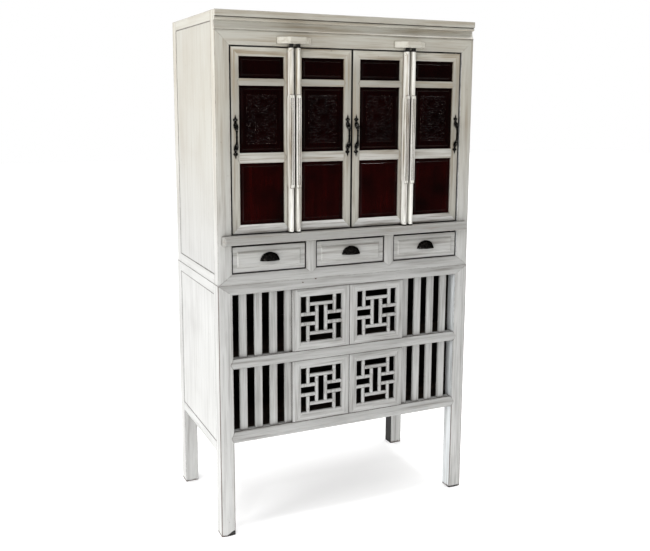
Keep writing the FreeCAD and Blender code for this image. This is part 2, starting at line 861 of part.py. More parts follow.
# Hinged door, made as the leftmost one: it turns on the pole at its right edge
def door_frame():
    fin_right = hinge_x + pole_radius
    hinge_width = fin_right - panel_right
    right_up = mitre_up(hinge_width)
    right_down = mitre_down(hinge_width)
    point = pointed(door_bite)
    spans = [(door_low, door_low + door_rail_height, mitre_down(free_stile_width), right_down),
             (lower_middle_rail_low, lower_middle_rail_low + lower_middle_rail_height, point, point),
             (upper_middle_rail_low, upper_middle_rail_low + upper_middle_rail_height, point, point),
             (door_high - door_rail_height, door_high, mitre_up(free_stile_width), right_up)]
    layer = door_setback + door_layer
    rails = []
    left_cuts = []
    right_cuts = []
    for low, high, left, right in spans:
        rail, left_cut, right_cut = front_rail(
            panel_left, panel_right, low, high, left, right, front=door_setback, layer=layer,
            back=door_back, rise=door_crown, tenon=door_tenon_length,
            thickness=door_tenon_thickness)
        rails.append(rail)
        left_cuts += left_cut
        right_cuts += right_cut
    openings = [(spans[index][1], spans[index + 1][0]) for index in range(len(spans) - 1)]
    panels = []
    grooves = []
    for low, high in openings:
        panel, groove = door_panel(low, high)
        panels.append(panel)
        grooves.append(groove)

    free_stile = upright(free_edge, panel_left, door_low, door_high, door_setback, door_back,
                         door_crown)
    bevel = plan_prism([(free_edge, door_back - edge_bevel_depth),
                        (free_edge + edge_bevel_width, door_back), (free_edge, door_back)],
                       door_low, door_high)
    free_stile = cut_all(free_stile, left_cuts + grooves + [bevel] + pull_studs(joint_clearance))
    hinge_stile = upright(panel_right, fin_right, door_low, door_high, door_setback, door_back,
                          door_crown)
    hinge_stile = cut_all(hinge_stile, right_cuts + grooves)
    hinge_stile = joined(hinge_stile, [pole()])
    rails = [cut_all(rail, grooves) for rail in rails]
    rails = [cut_all(rail, [pole_fin()]) for rail in rails]
    return [free_stile, hinge_stile] + rails, panels


# The fin that ties the pole to the stile; its front is the pole itself
def pole_fin():
    return box(hinge_x - pole_radius, hinge_x + pole_radius, pole_setback,
               door_setback + door_layer, door_low, door_high)


def pole():
    axis_y = front_y + pole_setback
    low = sill_top + sliding_gap
    high = bracket_low - sliding_gap
    round_pole = Part.makeCylinder(pole_radius, high - low, Vector(hinge_x, axis_y, low))
    pin = Part.makeCylinder(pin_radius, high - low + pin_length * 2,
                            Vector(hinge_x, axis_y, low - pin_length))
    half = pole_block_width / 2
    back = door_setback + door_crown
    front = pole_setback - half
    chamfer = pole_block_chamfer
    plan = [(hinge_x - half, back), (hinge_x - half, front + chamfer),
            (hinge_x - half + chamfer, front), (hinge_x + half - chamfer, front),
            (hinge_x + half, front + chamfer), (hinge_x + half, back)]
    block = plan_prism(plan, pole_block_low, pole_block_high)
    block = cut_all(block, pole_reeds(front))
    # The ends of the square part are drawn in to the round pole
    taper = pole_block_taper
    outline = [(hinge_x - half, pole_block_low + taper), (hinge_x - half, pole_block_high - taper),
               (hinge_x - pole_radius, pole_block_high), (hinge_x + pole_radius, pole_block_high),
               (hinge_x + half, pole_block_high - taper), (hinge_x + half, pole_block_low + taper),
               (hinge_x + pole_radius, pole_block_low), (hinge_x - pole_radius, pole_block_low)]
    block = block.common(front_prism(outline, front, back))
    return joined(round_pole, [pin, pole_fin(), block])


# Fine grooves down the front of the square part leave reeds between them
def pole_reeds(front):
    tools = []
    pitch = pole_block_width / reed_count
    for index in range(1, reed_count):
        x = hinge_x + pitch * (index - reed_count / 2)
        plan = [(x - reed_width / 2, front), (x + reed_width / 2, front), (x, front + reed_depth)]
        tools.append(plan_prism(plan, pole_block_low + pole_block_taper,
                                pole_block_high - pole_block_taper))
    return tools


def door_panel(low, high):
    tongue_back = door_tongue_setback + tongue_thickness
    size = (panel_left - door_tongue, panel_right + door_tongue, door_tongue_setback,
            tongue_back, low - door_tongue, high + door_tongue)
    margin = door_field_margin
    field = raised_field(panel_left + margin, panel_right - margin, low + margin, high - margin,
                         door_field_bevel, door_tongue_setback, door_field_setback)
    return joined(box(*size), [field]), box(*size, grow=panel_clearance)


def pull_studs(grow=0):
    studs = []
    for z in (pull_height - pull_spread, pull_height + pull_spread):
        base = Vector(pull_x, front_y + door_setback, z)
        studs.append(Part.makeCylinder(stud_radius + grow, stud_length + grow, base,
                                       Vector(0, 1, 0)))
    return studs


# A bowed grip between two leaf-shaped plates
def door_pull():
    plates = []
    half_width = pull_plate_width / 2
    half_height = pull_plate_height / 2
    plate_front = door_setback - pull_plate_thickness

    def place(point):
        return Vector(pull_x + point[0], front_y + plate_front, point[1])

    for z in (pull_height - pull_spread, pull_height + pull_spread):
        steps = [((half_width, z), (0, z + half_height)), ((-half_width, z), (0, z - half_height))]
        face = outline_face((0, z - half_height), steps, place)
        plates.append(face.extrude(Vector(0, pull_plate_thickness, 0)))
    start = Vector(pull_x, front_y + plate_front, pull_height - pull_spread)
    crest = Vector(pull_x, front_y + door_setback - pull_reach + pull_grip_radius, pull_height)
    end = Vector(pull_x, front_y + plate_front, pull_height + pull_spread)
    path = Part.Wire([Part.Arc(start, crest, end).toShape()])
    tangent = path.Edges[0].tangentAt(path.Edges[0].FirstParameter)
    ring = Part.Wire([Part.makeCircle(pull_grip_radius, start, tangent)])
    grip = path.makePipeShell([ring], True, False)
    back_cut = box(pull_x - half_width, pull_x + half_width, door_setback, door_back,
                   pull_height - pull_spread - half_height,
                   pull_height + pull_spread + half_height)
    pull = joined(plates[0], [grip, plates[1]])
    pull = pull.cut(back_cut)
    return joined(pull, pull_studs())


def make_doors():
    frame, panels = door_frame()
    pull = door_pull()
    pair_step = Vector(pair_centre * 2, 0, 0)
    sets = {"frame": frame, "panels": panels, "pull": [pull]}
    for kind, shapes in sets.items():
        moved = [shape.translated(pair_step) for shape in shapes]
        keep("door_1_" + kind, shapes)
        keep("door_2_" + kind, [mirrored(shape) for shape in moved])
        keep("door_3_" + kind, moved)
        keep("door_4_" + kind, [mirrored(shape) for shape in shapes])


# Drawers: the middle one is made and the others are copies of it
def drawer_front():
    half = bay_width / 2 - drawer_side_gap
    low = drawer_opening_low + drawer_foot_gap
    high = sill_low - drawer_top_gap
    board = box(-half, half, drawer_front_setback, drawer_back, low, high)
    margin = drawer_field_margin
    field = raised_field(-half + margin, half - margin, low + margin, high - margin,
                         drawer_field_bevel, drawer_front_setback, drawer_field_setback)
    front = joined(board, [field])
    housings = both_sides(drawer_side(joint_clearance)) + [drawer_bottom(joint_clearance)]
    return cut_all(front, cup_studs(joint_clearance) + housings)


def drawer_side(grow=0):
    half = bay_width / 2 - drawer_side_gap
    low = drawer_opening_low + sliding_gap
    return box(-half, drawer_wall - half, drawer_back - drawer_housing,
               drawer_back + drawer_depth, low, low + drawer_wall_height, grow=grow)


def drawer_bottom(grow=0):
    half = bay_width / 2 - drawer_side_gap - drawer_wall + drawer_groove
    low = drawer_opening_low + sliding_gap + drawer_bottom_lift
    return box(-half, half, drawer_back - drawer_groove,
               drawer_back + drawer_depth - drawer_wall, low, low + drawer_bottom_thickness,
               grow=grow)


def drawer_box():
    half = bay_width / 2 - drawer_side_gap
    back = drawer_back + drawer_depth
    low = drawer_opening_low + sliding_gap
    high = low + drawer_wall_height
    bottom_top = low + drawer_bottom_lift + drawer_bottom_thickness
    side = drawer_side().cut(drawer_bottom(joint_clearance))
    rear = box(drawer_wall - half, half - drawer_wall, back - drawer_wall, back,
               bottom_top + joint_clearance, high)
    return both_sides(side) + [rear, drawer_bottom()]


def cup_studs(grow=0):
    studs = []
    for x in (-cup_stud_spread / 2, cup_stud_spread / 2):
        base = Vector(x, front_y + drawer_field_setback, cup_low + cup_stud_rise)
        studs.append(Part.makeCylinder(stud_radius + grow, stud_length + grow, base,
                                       Vector(0, 1, 0)))
    return studs


# Half-moon pull: a slice of a hollow round cap, open below, on a thin plate of the same outline
def cup_pull():
    half = cup_width / 2
    face = front_y + drawer_field_setback
    rim_radius = (half * half + cup_height * cup_height) / (cup_height * 2)
    rim_centre = cup_low + cup_height - rim_radius
    radius = (rim_radius * rim_radius + cup_reach * cup_reach) / (cup_reach * 2)
    centre = Vector(0, face + radius - cup_reach, rim_centre)
    outer = Part.makeSphere(radius, centre)
    inner = Part.makeSphere(radius - cup_wall, centre)
    room = Part.makeBox(cup_width, cup_reach, cup_height, Vector(-half, face - cup_reach, cup_low))
    shell = outer.common(room).cut(inner)
    plate_radius = rim_radius + cup_plate_margin
    plate = Part.makeCylinder(plate_radius, cup_plate_thickness,
                              Vector(0, face - cup_plate_thickness, rim_centre), Vector(0, 1, 0))
    plate_room = Part.makeBox(plate_radius * 2, cup_plate_thickness, cup_height + cup_plate_margin,
                              Vector(-plate_radius, face - cup_plate_thickness, cup_low))
    return joined(shell, [plate.common(plate_room)] + cup_studs())


def make_drawers():
    sets = {"front": [drawer_front()], "box": drawer_box(), "pull": [cup_pull()]}
    step = bay_width + divider_width
    for index, place in enumerate(("left", "middle", "right")):
        shift = Vector(step * (index - 1), 0, 0)
        for kind, shapes in sets.items():
            keep(place + "_drawer_" + kind, [shape.translated(shift) for shape in shapes])


# Strips on the drawer floor that keep each drawer straight
def make_drawer_guides():
    low = drawer_opening_low
    guides = []
    for centre in (-divider_place, divider_place):
        guides.append(box(centre - divider_width / 2, centre + divider_width / 2,
                          rail_depth + joint_clearance, board_back, low, low + guide_height))
    outer = panel_recess + panel_thickness + joint_clearance - upper_half
    guides += both_sides(box(outer, -upper_inner, post_depth + joint_clearance,
                             case_depth - post_depth - joint_clearance, low,
                             low + guide_height))
    keep("drawer_guides", guides)


make_lower_case()
make_slats()
make_lattice_doors()
make_upper_case()
make_battens()
make_doors()
make_drawers()
make_drawer_guides()

for name, solids in parts.items():
    for solid in solids:
        if not solid.isValid() or solid.Volume <= 0:
            print("unsound solid in", name)
    shape = solids[0] if len(solids) == 1 else Part.makeCompound(solids)
    shape.exportStep("parts/" + name + ".step")
print(len(parts), "nodes,", sum(len(solids) for solids in parts.values()), "solids")
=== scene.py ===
import math

import bmesh
import bpy
import numpy as np
from mathutils import Matrix, Vector


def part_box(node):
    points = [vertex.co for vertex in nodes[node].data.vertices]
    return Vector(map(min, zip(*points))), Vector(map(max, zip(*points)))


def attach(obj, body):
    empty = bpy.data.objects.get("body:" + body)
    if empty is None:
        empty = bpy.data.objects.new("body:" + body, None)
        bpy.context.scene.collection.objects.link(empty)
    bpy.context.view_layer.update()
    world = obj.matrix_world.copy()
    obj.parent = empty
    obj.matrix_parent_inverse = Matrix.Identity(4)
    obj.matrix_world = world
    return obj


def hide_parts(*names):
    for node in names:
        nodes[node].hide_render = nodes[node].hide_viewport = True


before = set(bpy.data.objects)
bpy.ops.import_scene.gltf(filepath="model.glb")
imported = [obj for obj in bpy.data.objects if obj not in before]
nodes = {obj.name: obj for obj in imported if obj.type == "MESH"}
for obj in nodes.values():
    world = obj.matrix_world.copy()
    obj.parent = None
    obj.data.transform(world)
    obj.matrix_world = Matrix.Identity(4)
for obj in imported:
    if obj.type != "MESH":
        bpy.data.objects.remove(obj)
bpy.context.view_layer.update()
print("frame loaded:", len(nodes), "nodes")

# The cabinet's main places, read from the frame
legLow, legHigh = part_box("front_left_leg")
frontY = legLow.y
halfWidth = -legLow.x
legInner = -legHigh.x
seamZ = legHigh.z                          # where the upper case stands on the lower one
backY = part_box("back_left_leg")[1].y
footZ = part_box("lower_bottom_rail")[0].z   # the legs stand free below it
doorGap = 0.004                            # over and under the doors
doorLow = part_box("sill_bar")[1].z + doorGap
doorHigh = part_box("upper_top_rail")[0].z - doorGap


# Materials: a signal is a node's output, and sums on it add their own Math nodes
class Signal:
    def __init__(self, recipe, socket):
        self.recipe = recipe
        self.socket = socket

    def maths(self, operation, *values):
        settings = {"operation": operation}
        return self.recipe.add("ShaderNodeMath", settings, dict(enumerate(values)))

    def __add__(self, other):
        return self.maths("ADD", self, other)

    def __radd__(self, other):
        return self.maths("ADD", other, self)

    def __sub__(self, other):
        return self.maths("SUBTRACT", self, other)

    def __rsub__(self, other):
        return self.maths("SUBTRACT", other, self)

    def __mul__(self, other):
        return self.maths("MULTIPLY", self, other)

    def __rmul__(self, other):
        return self.maths("MULTIPLY", other, self)

    def __truediv__(self, other):
        return self.maths("DIVIDE", self, other)

    def __abs__(self):
        return self.maths("ABSOLUTE", self)

    def least(self, other):
        return self.maths("MINIMUM", self, other)

    def most(self, other):
        return self.maths("MAXIMUM", self, other)

    def wrapped(self):
        return self.maths("FRACT", self)

    # 0 below start, 1 above end, with a soft change between them
    def between(self, start, end):
        settings = {"interpolation_type": "SMOOTHSTEP", "clamp": True}
        values = {"Value": self, "From Min": start, "From Max": end, "To Min": 0.0, "To Max": 1.0}
        return self.recipe.add("ShaderNodeMapRange", settings, values)

    # 1 where the signal is well over zero, with a soft change as wide as given
    def past(self, soft=0.0004):
        return self.between(0.0, soft)


class Recipe:
    def __init__(self, owner, source="Object"):
        owner.use_nodes = True
        self.owner = owner
        self.tree = owner.node_tree
        self.tree.nodes.clear()
        self.place = self.add("ShaderNodeTexCoord", output=source)
        axes = [self.add("ShaderNodeSeparateXYZ", {}, {0: self.place}, output=axis) for axis in range(3)]
        self.x, self.y, self.z = axes

    def add(self, kind, settings=None, values=None, output=0):
        node = self.tree.nodes.new(kind)
        for setting, value in (settings or {}).items():
            setattr(node, setting, value)
        for key, value in (values or {}).items():
            if isinstance(value, Signal):
                self.tree.links.new(value.socket, node.inputs[key])
            else:
                node.inputs[key].default_value = value
        return Signal(self, node.outputs[output]) if node.outputs else None

    def mixColour(self, factor, first, second):
        return self.add("ShaderNodeMix", {"data_type": "RGBA"}, {0: factor, 6: first, 7: second}, output=2)

    def mixVector(self, factor, first, second):
        return self.add("ShaderNodeMix", {"data_type": "VECTOR"}, {0: factor, 4: first, 5: second}, output=1)

    def stretched(self, vector, scale):
        return self.add("ShaderNodeVectorMath", {"operation": "MULTIPLY"}, {0: vector, 1: scale})

    def noise(self, vector, scale=1.0, detail=3.0, rough=0.5):
        values = {"Vector": vector, "Scale": scale, "Detail": detail, "Roughness": rough}
        return self.add("ShaderNodeTexNoise", {}, values)

    # How near a sharp edge is: 0 on a flat face, rising to 1 at the edge
    def edge(self, radius):
        rounded = self.add("ShaderNodeBevel", {"samples": 4}, {"Radius": radius})
        flat = self.add("ShaderNodeNewGeometry", output="Normal")
        values = {0: rounded, 1: flat}
        facing = self.add("ShaderNodeVectorMath", {"operation": "DOT_PRODUCT"}, values, output="Value")
        return (1.0 - facing).between(0.004, 0.2)

    # How deep in a corner or crack a place is: 0 in the open, 1 where little light gets in
    def corner(self, reach, depths):
        lit = self.add("ShaderNodeAmbientOcclusion", {"samples": 6}, {"Distance": reach}, output="AO")
        return (1.0 - lit).between(*depths)

    def bump(self, height, distance, strength=1.0, roundEdge=0.0):
        values = {"Height": height, "Distance": distance, "Strength": strength}
        if roundEdge:
            values["Normal"] = self.add("ShaderNodeBevel", {"samples": 4}, {"Radius": roundEdge})
        return self.add("ShaderNodeBump", {}, values)

    def finish(self, colour, roughness, normal, **fixed):
        values = {"Base Color": colour, "Roughness": roughness, "Normal": normal, **fixed}
        surface = self.add("ShaderNodeBsdfPrincipled", {}, values)
        self.add("ShaderNodeOutputMaterial", {}, {0: surface})
        return self.owner


paint = {
    "foot": (0.66, 0.66, 0.645, 1),        # nearly white feet
    "lower": (0.58, 0.58, 0.565, 1),       # neutral white of the lower case
    "upper": (0.545, 0.53, 0.468, 1),      # creamier white higher up
    "footFade": (0.1, 0.15),               # from this height to this much over the bottom rail's underside
    "creamFade": (-0.1, 0.75),             # heights from the seam of the two cases
    "lowerShade": (0.25, 0.24, 0.225, 1),  # grain that shows through
    "upperShade": (0.34, 0.28, 0.20, 1),
    "worn": (0.085, 0.045, 0.03, 1),       # bare wood at edges and dents
    "grimeAndShade": (0.030, 0.018, 0.012, 1),     # brown glaze and painted shade in the corners, cracks and gaps
    "fibre": (330.0, 9.0),                 # fine grain lines a metre, across the grain and along it
    "streak": (70.0, 3.0),                 # broad streaks, counted alike
    "edgeReach": 0.0042, "crackReach": 0.0013, "cornerReach": 0.012,
    "corners": (0.18, 0.68),               # how shut in a place is where the grime and painted shade start, and where they are full
    "corniceCorners": (0.40, 0.90),
    "rounding": 0.0022, "relief": 0.0006,
    "pole": (0.97, 0.96, 0.90, 1),         # painted light: lighter than the doors behind them
    "poleDepth": 0.0015,                   # behind the front; all of a door before it is pole
    "innerLegLight": (0.84, 0.88, 0.90, 1),    # painted light on the legs' inner faces: lighter and bluer
    "cornerLine": (0.0042, 0.0062),        # half width of the brown lines down the legs' corners
    "footWearAndShadow": 0.030,                     # height of the dark foot ends: wear with painted shadow
    # dark marks at the front feet, painted shadow with chipped corners: x where they start, are full and end,
    # and their height
    "footShadowsAndChips": ((-0.528, -0.486, -0.470, 0.019), (0.476, 0.482, 0.524, 0.008)),
    "shadowChipDepth": 0.03,
    "drawerStep": 0.334,                   # between the middles of two drawers
    "drawerFace": 0.0078,                  # depth behind the front where a drawer's paint ends
    "drawerShadeRim": (0.0016, 0.0024),         # dark rim of a drawer's face: painted shade beside the gaps, with wear
    # the same painted shade round a door's edges
    "doorShadeRim": (0.0010, 0.0018),
    "panelShadeLine": (0.0028, 0.0048),         # half width of the brown lines round the side panels: painted shade in the recess, with grime
    "dingPlaces": ((-0.2019, 0.9637), (-0.1484, 0.9735)),   # x and z of two deep knocks
    "ding": (0.0018, 0.0034),              # half width of a knock at full depth and at its edge
}
# Each kind of painted piece: the way of its grain, its lightness (partly the paint's tone, partly painted
# light and shade for how much light each kind gets), worn edges and streaks
paintKinds = {
    "post": ("z", 1.00, 1.0, 1.0), "panel": ("z", 0.97, 0.6, 0.50), "highPanel": ("z", 0.86, 0.6, 0.45),
    "sideRail": ("y", 0.95, 0.6, 0.5), "cornice": ("x", 1.00, 0.4, 1.1), "rail": ("x", 0.83, 0.7, 1.4),
    "sill": ("x", 0.66, 0.8, 1.6), "drawer": ("x", 0.97, 0.6, 1.2), "slat": ("z", 0.93, 0.3, 1.2),
    "lattice": ("lattice", 0.92, 0.3, 1.5), "door": ("door", 1.00, 0.7, 1.7),
    "bracket": ("x", 1.20, 0.7, 0.7),
}
# Painted light and shade on the doors: darker at their middles, and pale at their tops and on their lower
# rails
doorLightAndShade = {
    "low": 0.90, "middle": 0.79, "top": 1.28, "lowRails": 1.25,
    "middleFade": (1.45, 1.66), "topFade": (1.74, 1.86), "lowRailsFade": (1.15, 1.66),   # heights
}
# The side panels' lowest and highest seen places, and how deep the posts beside them are
panelSpans = {"panel": (0.366, 0.940, 0.054), "highPanel": (1.012, 1.915, 0.050)}
wood = {
    "deep": (0.004, 0.0025, 0.002, 1),     # near black: bare wood and painted shade, on the edges in the narrow gaps round doors and drawers, at the feet and inside
    "dark": (0.014, 0.008, 0.005, 1),
    "light": (0.045, 0.026, 0.015, 1),
    "joint": (0.003, 0.002, 0.002, 1),     # between two boards
    "board": 0.118,                        # width of one board
    "fibre": (260.0, 7.0), "ring": (34.0, 1.6),
    "rounding": 0.0012, "relief": 0.0006,
}
doorGrain = {
    "centre": 0.23925,                     # from the cabinet's middle to the line between two poles
    "reach": 0.23675,                      # from that line to a door's free edge
    "hingeOuter": 0.0055, "hingeInner": 0.0345,   # and to both edges of its pole stile
    "stile": 0.031, "rail": 0.033,
    "middleRails": ((1.418, 1.455), (1.693, 1.718)),
}
latticeGrain = {
    "half": 0.1192,                        # of a lattice door's width
    "gap": 0.001,                          # from the cabinet's middle to the door
}
# Where the case's dark inside starts, bare wood with painted shade: distances from its front, back and sides
# and from the bottom rail
bareAndShadedInside = {
    "front": 0.0546, "back": 0.0004, "side": 0.0115, "below": 0.036,
    "legDepth": 0.3,                       # the legs' inner faces are dark behind it: painted shade
    "legSkin": 0.0004,
}


# Stretches the place along the grain, so that noise on it runs as long fibres
def grainPlace(recipe, direction, across, along):
    scales = {"x": (along, across, across), "y": (across, along, across), "z": (across, across, along)}
    if direction in scales:
        return recipe.stretched(recipe.place, scales[direction])
    upright = recipe.stretched(recipe.place, scales["z"])
    level = recipe.stretched(recipe.place, scales["x"])
    masks = {"door": doorLevelMask, "lattice": latticeLevelMask}
    return recipe.mixVector(masks[direction](recipe), upright, level)


# 1 on a door's rails and 0 on its stiles, parted along the mitres
def doorLevelMask(recipe):
    sizes = doorGrain
    away = abs(abs(recipe.x) - sizes["centre"])
    rim = (recipe.z - doorLow).least(doorHigh - recipe.z)
    slope = sizes["stile"] / sizes["rail"]
    freeSide = (sizes["reach"] - away - rim * slope).past()
    hingeSide = (away - sizes["hingeOuter"] - rim * slope).past()
    total = freeSide * hingeSide * (sizes["rail"] - rim).past()
    inner = (sizes["reach"] - sizes["stile"] - away).past() * (away - sizes["hingeInner"]).past()
    for start, end in sizes["middleRails"]:
        total = total + inner * (recipe.z - start).past() * (end - recipe.z).past()
    return total.least(1.0)


# The same for the lattice doors' outer frames
def latticeLevelMask(recipe):
    low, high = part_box("lower_left_lattice_door")
    upperLow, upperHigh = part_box("upper_left_lattice_door")
    middle, upperMiddle = (low.z + high.z) / 2, (upperLow.z + upperHigh.z) / 2
    rise = abs(recipe.z - middle).least(abs(recipe.z - upperMiddle))
    away = abs(abs(recipe.x) - latticeGrain["half"] - latticeGrain["gap"])
    return ((latticeGrain["half"] - away) - ((high.z - low.z) / 2 - rise)).past()


# 1 on the faces inside the case, dark bare wood that is also painted shade, and on the back legs' inner
# faces, where the dark is painted shade
def insideMask(recipe):
    side, depth = abs(recipe.x), recipe.y - frontY
    room = (depth - bareAndShadedInside["front"]).past(0.0006) * (backY - bareAndShadedInside["back"] - recipe.y).past(0.0006)
    room = room * (halfWidth - bareAndShadedInside["side"] - side).past()
    room = room * (recipe.z - footZ + bareAndShadedInside["below"]).past(0.0006)
    leg = (depth - bareAndShadedInside["legDepth"]).past() * (legInner + bareAndShadedInside["legSkin"] - side).past(0.0002)
    return room.most(leg)


def toned(colour, tone):
    return tuple(part * tone for part in colour[:3]) + (1,)


# A door's paint, with painted light and shade: lighter and darker tones over its height
def doorColour(recipe, light):
    tones = {name: toned(paint["upper"], light * doorLightAndShade[name]) for name in ("low", "middle", "top")}
    colour = recipe.mixColour(recipe.z.between(*doorLightAndShade["middleFade"]), tones["low"], tones["middle"])
    colour = recipe.mixColour(recipe.z.between(*doorLightAndShade["topFade"]), colour, tones["top"])
    lowRails = doorLevelMask(recipe) * (1.0 - recipe.z.between(*doorLightAndShade["lowRailsFade"]))
    return recipe.mixColour(lowRails, colour, toned(paint["lower"], light * doorLightAndShade["lowRails"]))


def whitePaint(kind):
    direction, light, wear, streaks = paintKinds[kind]
    recipe = Recipe(bpy.data.materials.new("white_paint_" + kind))
    side, depth = abs(recipe.x), recipe.y - frontY
    fibre = recipe.noise(grainPlace(recipe, direction, *paint["fibre"]), detail=2.0)
    streak = recipe.noise(grainPlace(recipe, direction, *paint["streak"]), detail=4.0, rough=0.6)
    cloud = recipe.noise(recipe.place, scale=5.0, detail=3.0)
    patch = recipe.noise(recipe.place, scale=42.0, detail=4.0, rough=0.65)
    speck = recipe.noise(recipe.place, scale=170.0, detail=2.0)
    edge = recipe.edge(paint["edgeReach"])
    height = (recipe.z - seamZ).between(*paint["creamFade"])
    if kind == "door":
        # painted light: the poles' fronts are made lighter than the door behind them
        pole = (frontY + paint["poleDepth"] - recipe.y).past(0.001)
        colour = recipe.mixColour(pole, doorColour(recipe, light), paint["pole"])
    else:
        footTop, aboveRail = paint["footFade"]
        foot = recipe.z.between(footTop, footZ + aboveRail)
        colour = recipe.mixColour(foot, toned(paint["foot"], light), toned(paint["lower"], light))
        colour = recipe.mixColour(height, colour, toned(paint["upper"], light))
    if kind == "post":                     # painted light: the legs' inner faces are lighter and bluer
        innerLegLight = (legInner + 0.0006 - side).past()
        colour = recipe.mixColour(innerLegLight * 0.8, colour, paint["innerLegLight"])
    through = (streak.between(0.42, 0.74) * 0.6 + fibre.between(0.48, 0.78) * 0.3) * streaks
    through = through + cloud.between(0.40, 0.8) * 0.22
    shade = recipe.mixColour(height, paint["lowerShade"], paint["upperShade"])
    colour = recipe.mixColour(through, colour, shade)
    rubbed = edge * patch.between(0.38, 0.62) * (0.9 * wear)
    if kind == "door":                     # a brown line down the poles' edges
        rubbed = rubbed.most(pole * edge.between(0.15, 0.6) * 0.75)
    chips = patch.between(0.70, 0.735) * streak.between(0.5, 0.62) * 0.85
    dings = speck.between(0.735, 0.765) * patch.between(0.5, 0.6) * 0.9
    worn = rubbed.most(chips).most(dings)
    if kind == "post":                     # brown lines down the legs' front corners, and dark foot ends: wear with painted shadow
        outer = (halfWidth - side) + depth
        inner = (side - legInner) + depth + (recipe.z - footZ).past(0.01)
        line = 1.0 - outer.least(abs(inner)).between(*paint["cornerLine"])
        worn = worn.most(line * (0.55 + patch * 0.5))
        worn = worn.most((paint["footWearAndShadow"] * (patch - 0.2) - recipe.z).past(0.005) * 0.7)
    if kind == "rail":                     # two deep knocks in the lower case's top rail
        for x, z in paint["dingPlaces"]:
            gap = abs(recipe.x - x) * 0.6 + abs(recipe.z - z) + (speck - 0.5) * 0.004
            worn = worn.most(1.0 - gap.between(*paint["ding"]))
    colour = recipe.mixColour(worn.least(1.0), colour, paint["worn"])
    if kind == "post":                     # dark marks at the front feet: painted shadow under them, with chipped corners
        front = 1.0 - depth.past(paint["shadowChipDepth"])
        shadowAndChip = 0.0
        for start, full, end, tall in paint["footShadowsAndChips"]:
            ramp = recipe.x.between(start, full) * (1.0 - recipe.x.between(end, end + 0.004))
            shadowAndChip = (ramp * tall - recipe.z).past(0.0015) * front + shadowAndChip
        colour = recipe.mixColour(shadowAndChip, colour, wood["deep"])
    # painted shade with grime: darker in corners, cracks and gaps where little light gets in
    crack = recipe.edge(paint["crackReach"]).between(0.1, 0.9)
    depths = paint["corniceCorners"] if kind == "cornice" else paint["corners"]
    grimeAndShade = recipe.corner(paint["cornerReach"], depths) * (0.55 + patch * 0.8)
    grimeAndShade = grimeAndShade + crack * (0.1 + patch * 0.5 * wear) * (2.0 if kind == "drawer" else 1.0)
    if kind in panelSpans:                 # a brown line where a side panel enters its frame: painted shade in the recess, with grime
        low, high, post = panelSpans[kind]
        rim = (recipe.z - low).least(high - recipe.z)
        rim = rim.least(depth - post).least(backY - post - recipe.y)
        grimeAndShade = grimeAndShade.most((1.0 - rim.between(*paint["panelShadeLine"])) * (0.35 + patch * 0.8))
    colour = recipe.mixColour(grimeAndShade.least(0.94), colour, paint["grimeAndShade"])
    # dark faces: bare wood, with painted shade inside the case, in the gaps and on the back legs' inner faces
    bareAndShade = insideMask(recipe)
    if kind == "drawer":                   # the drawers' edges are dark, bare wood with painted shade in the gaps, and a painted shade rim runs round their faces
        low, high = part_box("middle_drawer_front")
        away = side.least(abs(side - paint["drawerStep"]))
        margin = (high.x - away).least(recipe.z - low.z).least(high.z - recipe.z)
        bareAndShade = bareAndShade.most((depth - paint["drawerFace"]).past(0.0006))
        bareAndShade = bareAndShade.most(1.0 - (margin + (patch - 0.5) * 0.002).between(*paint["drawerShadeRim"]))
    if kind == "door":                     # painted shade: dark lines at the doors' free edges, tops and feet, beside the gaps
        away = abs(side - doorGrain["centre"])
        margin = (doorGrain["reach"] - away).least(recipe.z - doorLow).least(doorHigh - recipe.z)
        bareAndShade = bareAndShade.most(1.0 - (margin + (patch - 0.5) * 0.001).between(*paint["doorShadeRim"]))
    bareAndShadeColour = wood["deep"] if kind in ("drawer", "post", "door") else wood["dark"]
    colour = recipe.mixColour(bareAndShade, colour, bareAndShadeColour)
    rough = 0.36 + streak * 0.16 + worn * 0.25 + bareAndShade * 0.25
    relief = fibre * 0.3 + streak * 0.6 - worn * 0.8
    return recipe.finish(colour, rough, recipe.bump(relief, paint["relief"], 0.7, paint["rounding"]))


def bareWood(name, direction, boardAxis=None):
    recipe = Recipe(bpy.data.materials.new(name))
    fibre = recipe.noise(grainPlace(recipe, direction, *wood["fibre"]), detail=3.0)
    ring = recipe.noise(grainPlace(recipe, direction, *wood["ring"]), detail=4.0, rough=0.6)
    colour = recipe.mixColour(ring.between(0.35, 0.7), wood["dark"], wood["light"])
    colour = recipe.mixColour(fibre.between(0.4, 0.75) * 0.45, colour, wood["light"])
    relief = fibre * 0.4 + ring * 0.5
    if boardAxis:                          # the axis across the boards
        across = {"x": recipe.x, "y": recipe.y, "z": recipe.z}[boardAxis]
        joint = abs((across / wood["board"]).wrapped() - 0.5).between(0.488, 0.497)
        colour = recipe.mixColour(joint * 0.85, colour, wood["joint"])
        relief = relief - joint * 2.0
    rough = 0.62 + fibre * 0.2
    return recipe.finish(colour, rough, recipe.bump(relief, wood["relief"], 0.7, wood["rounding"]))


lacquer = {
    "deep": (0.0022, 0.0002, 0.00015, 1),
    "red": (0.024, 0.0006, 0.0004, 1),
    "rubbed": (0.07, 0.008, 0.004, 1),
    "speck": (0.60, 0.54, 0.48, 1),        # painted glints: light specks on the carving's crests
    "redTop": 1.5, "redFade": 0.12,        # the red shows more below this height
    "streak": (75.0, 75.0, 3.5), "specks": (330.0, 330.0, 200.0),
    "edgeReach": 0.0016, "rounding": 0.0009, "relief": 0.0003,
}


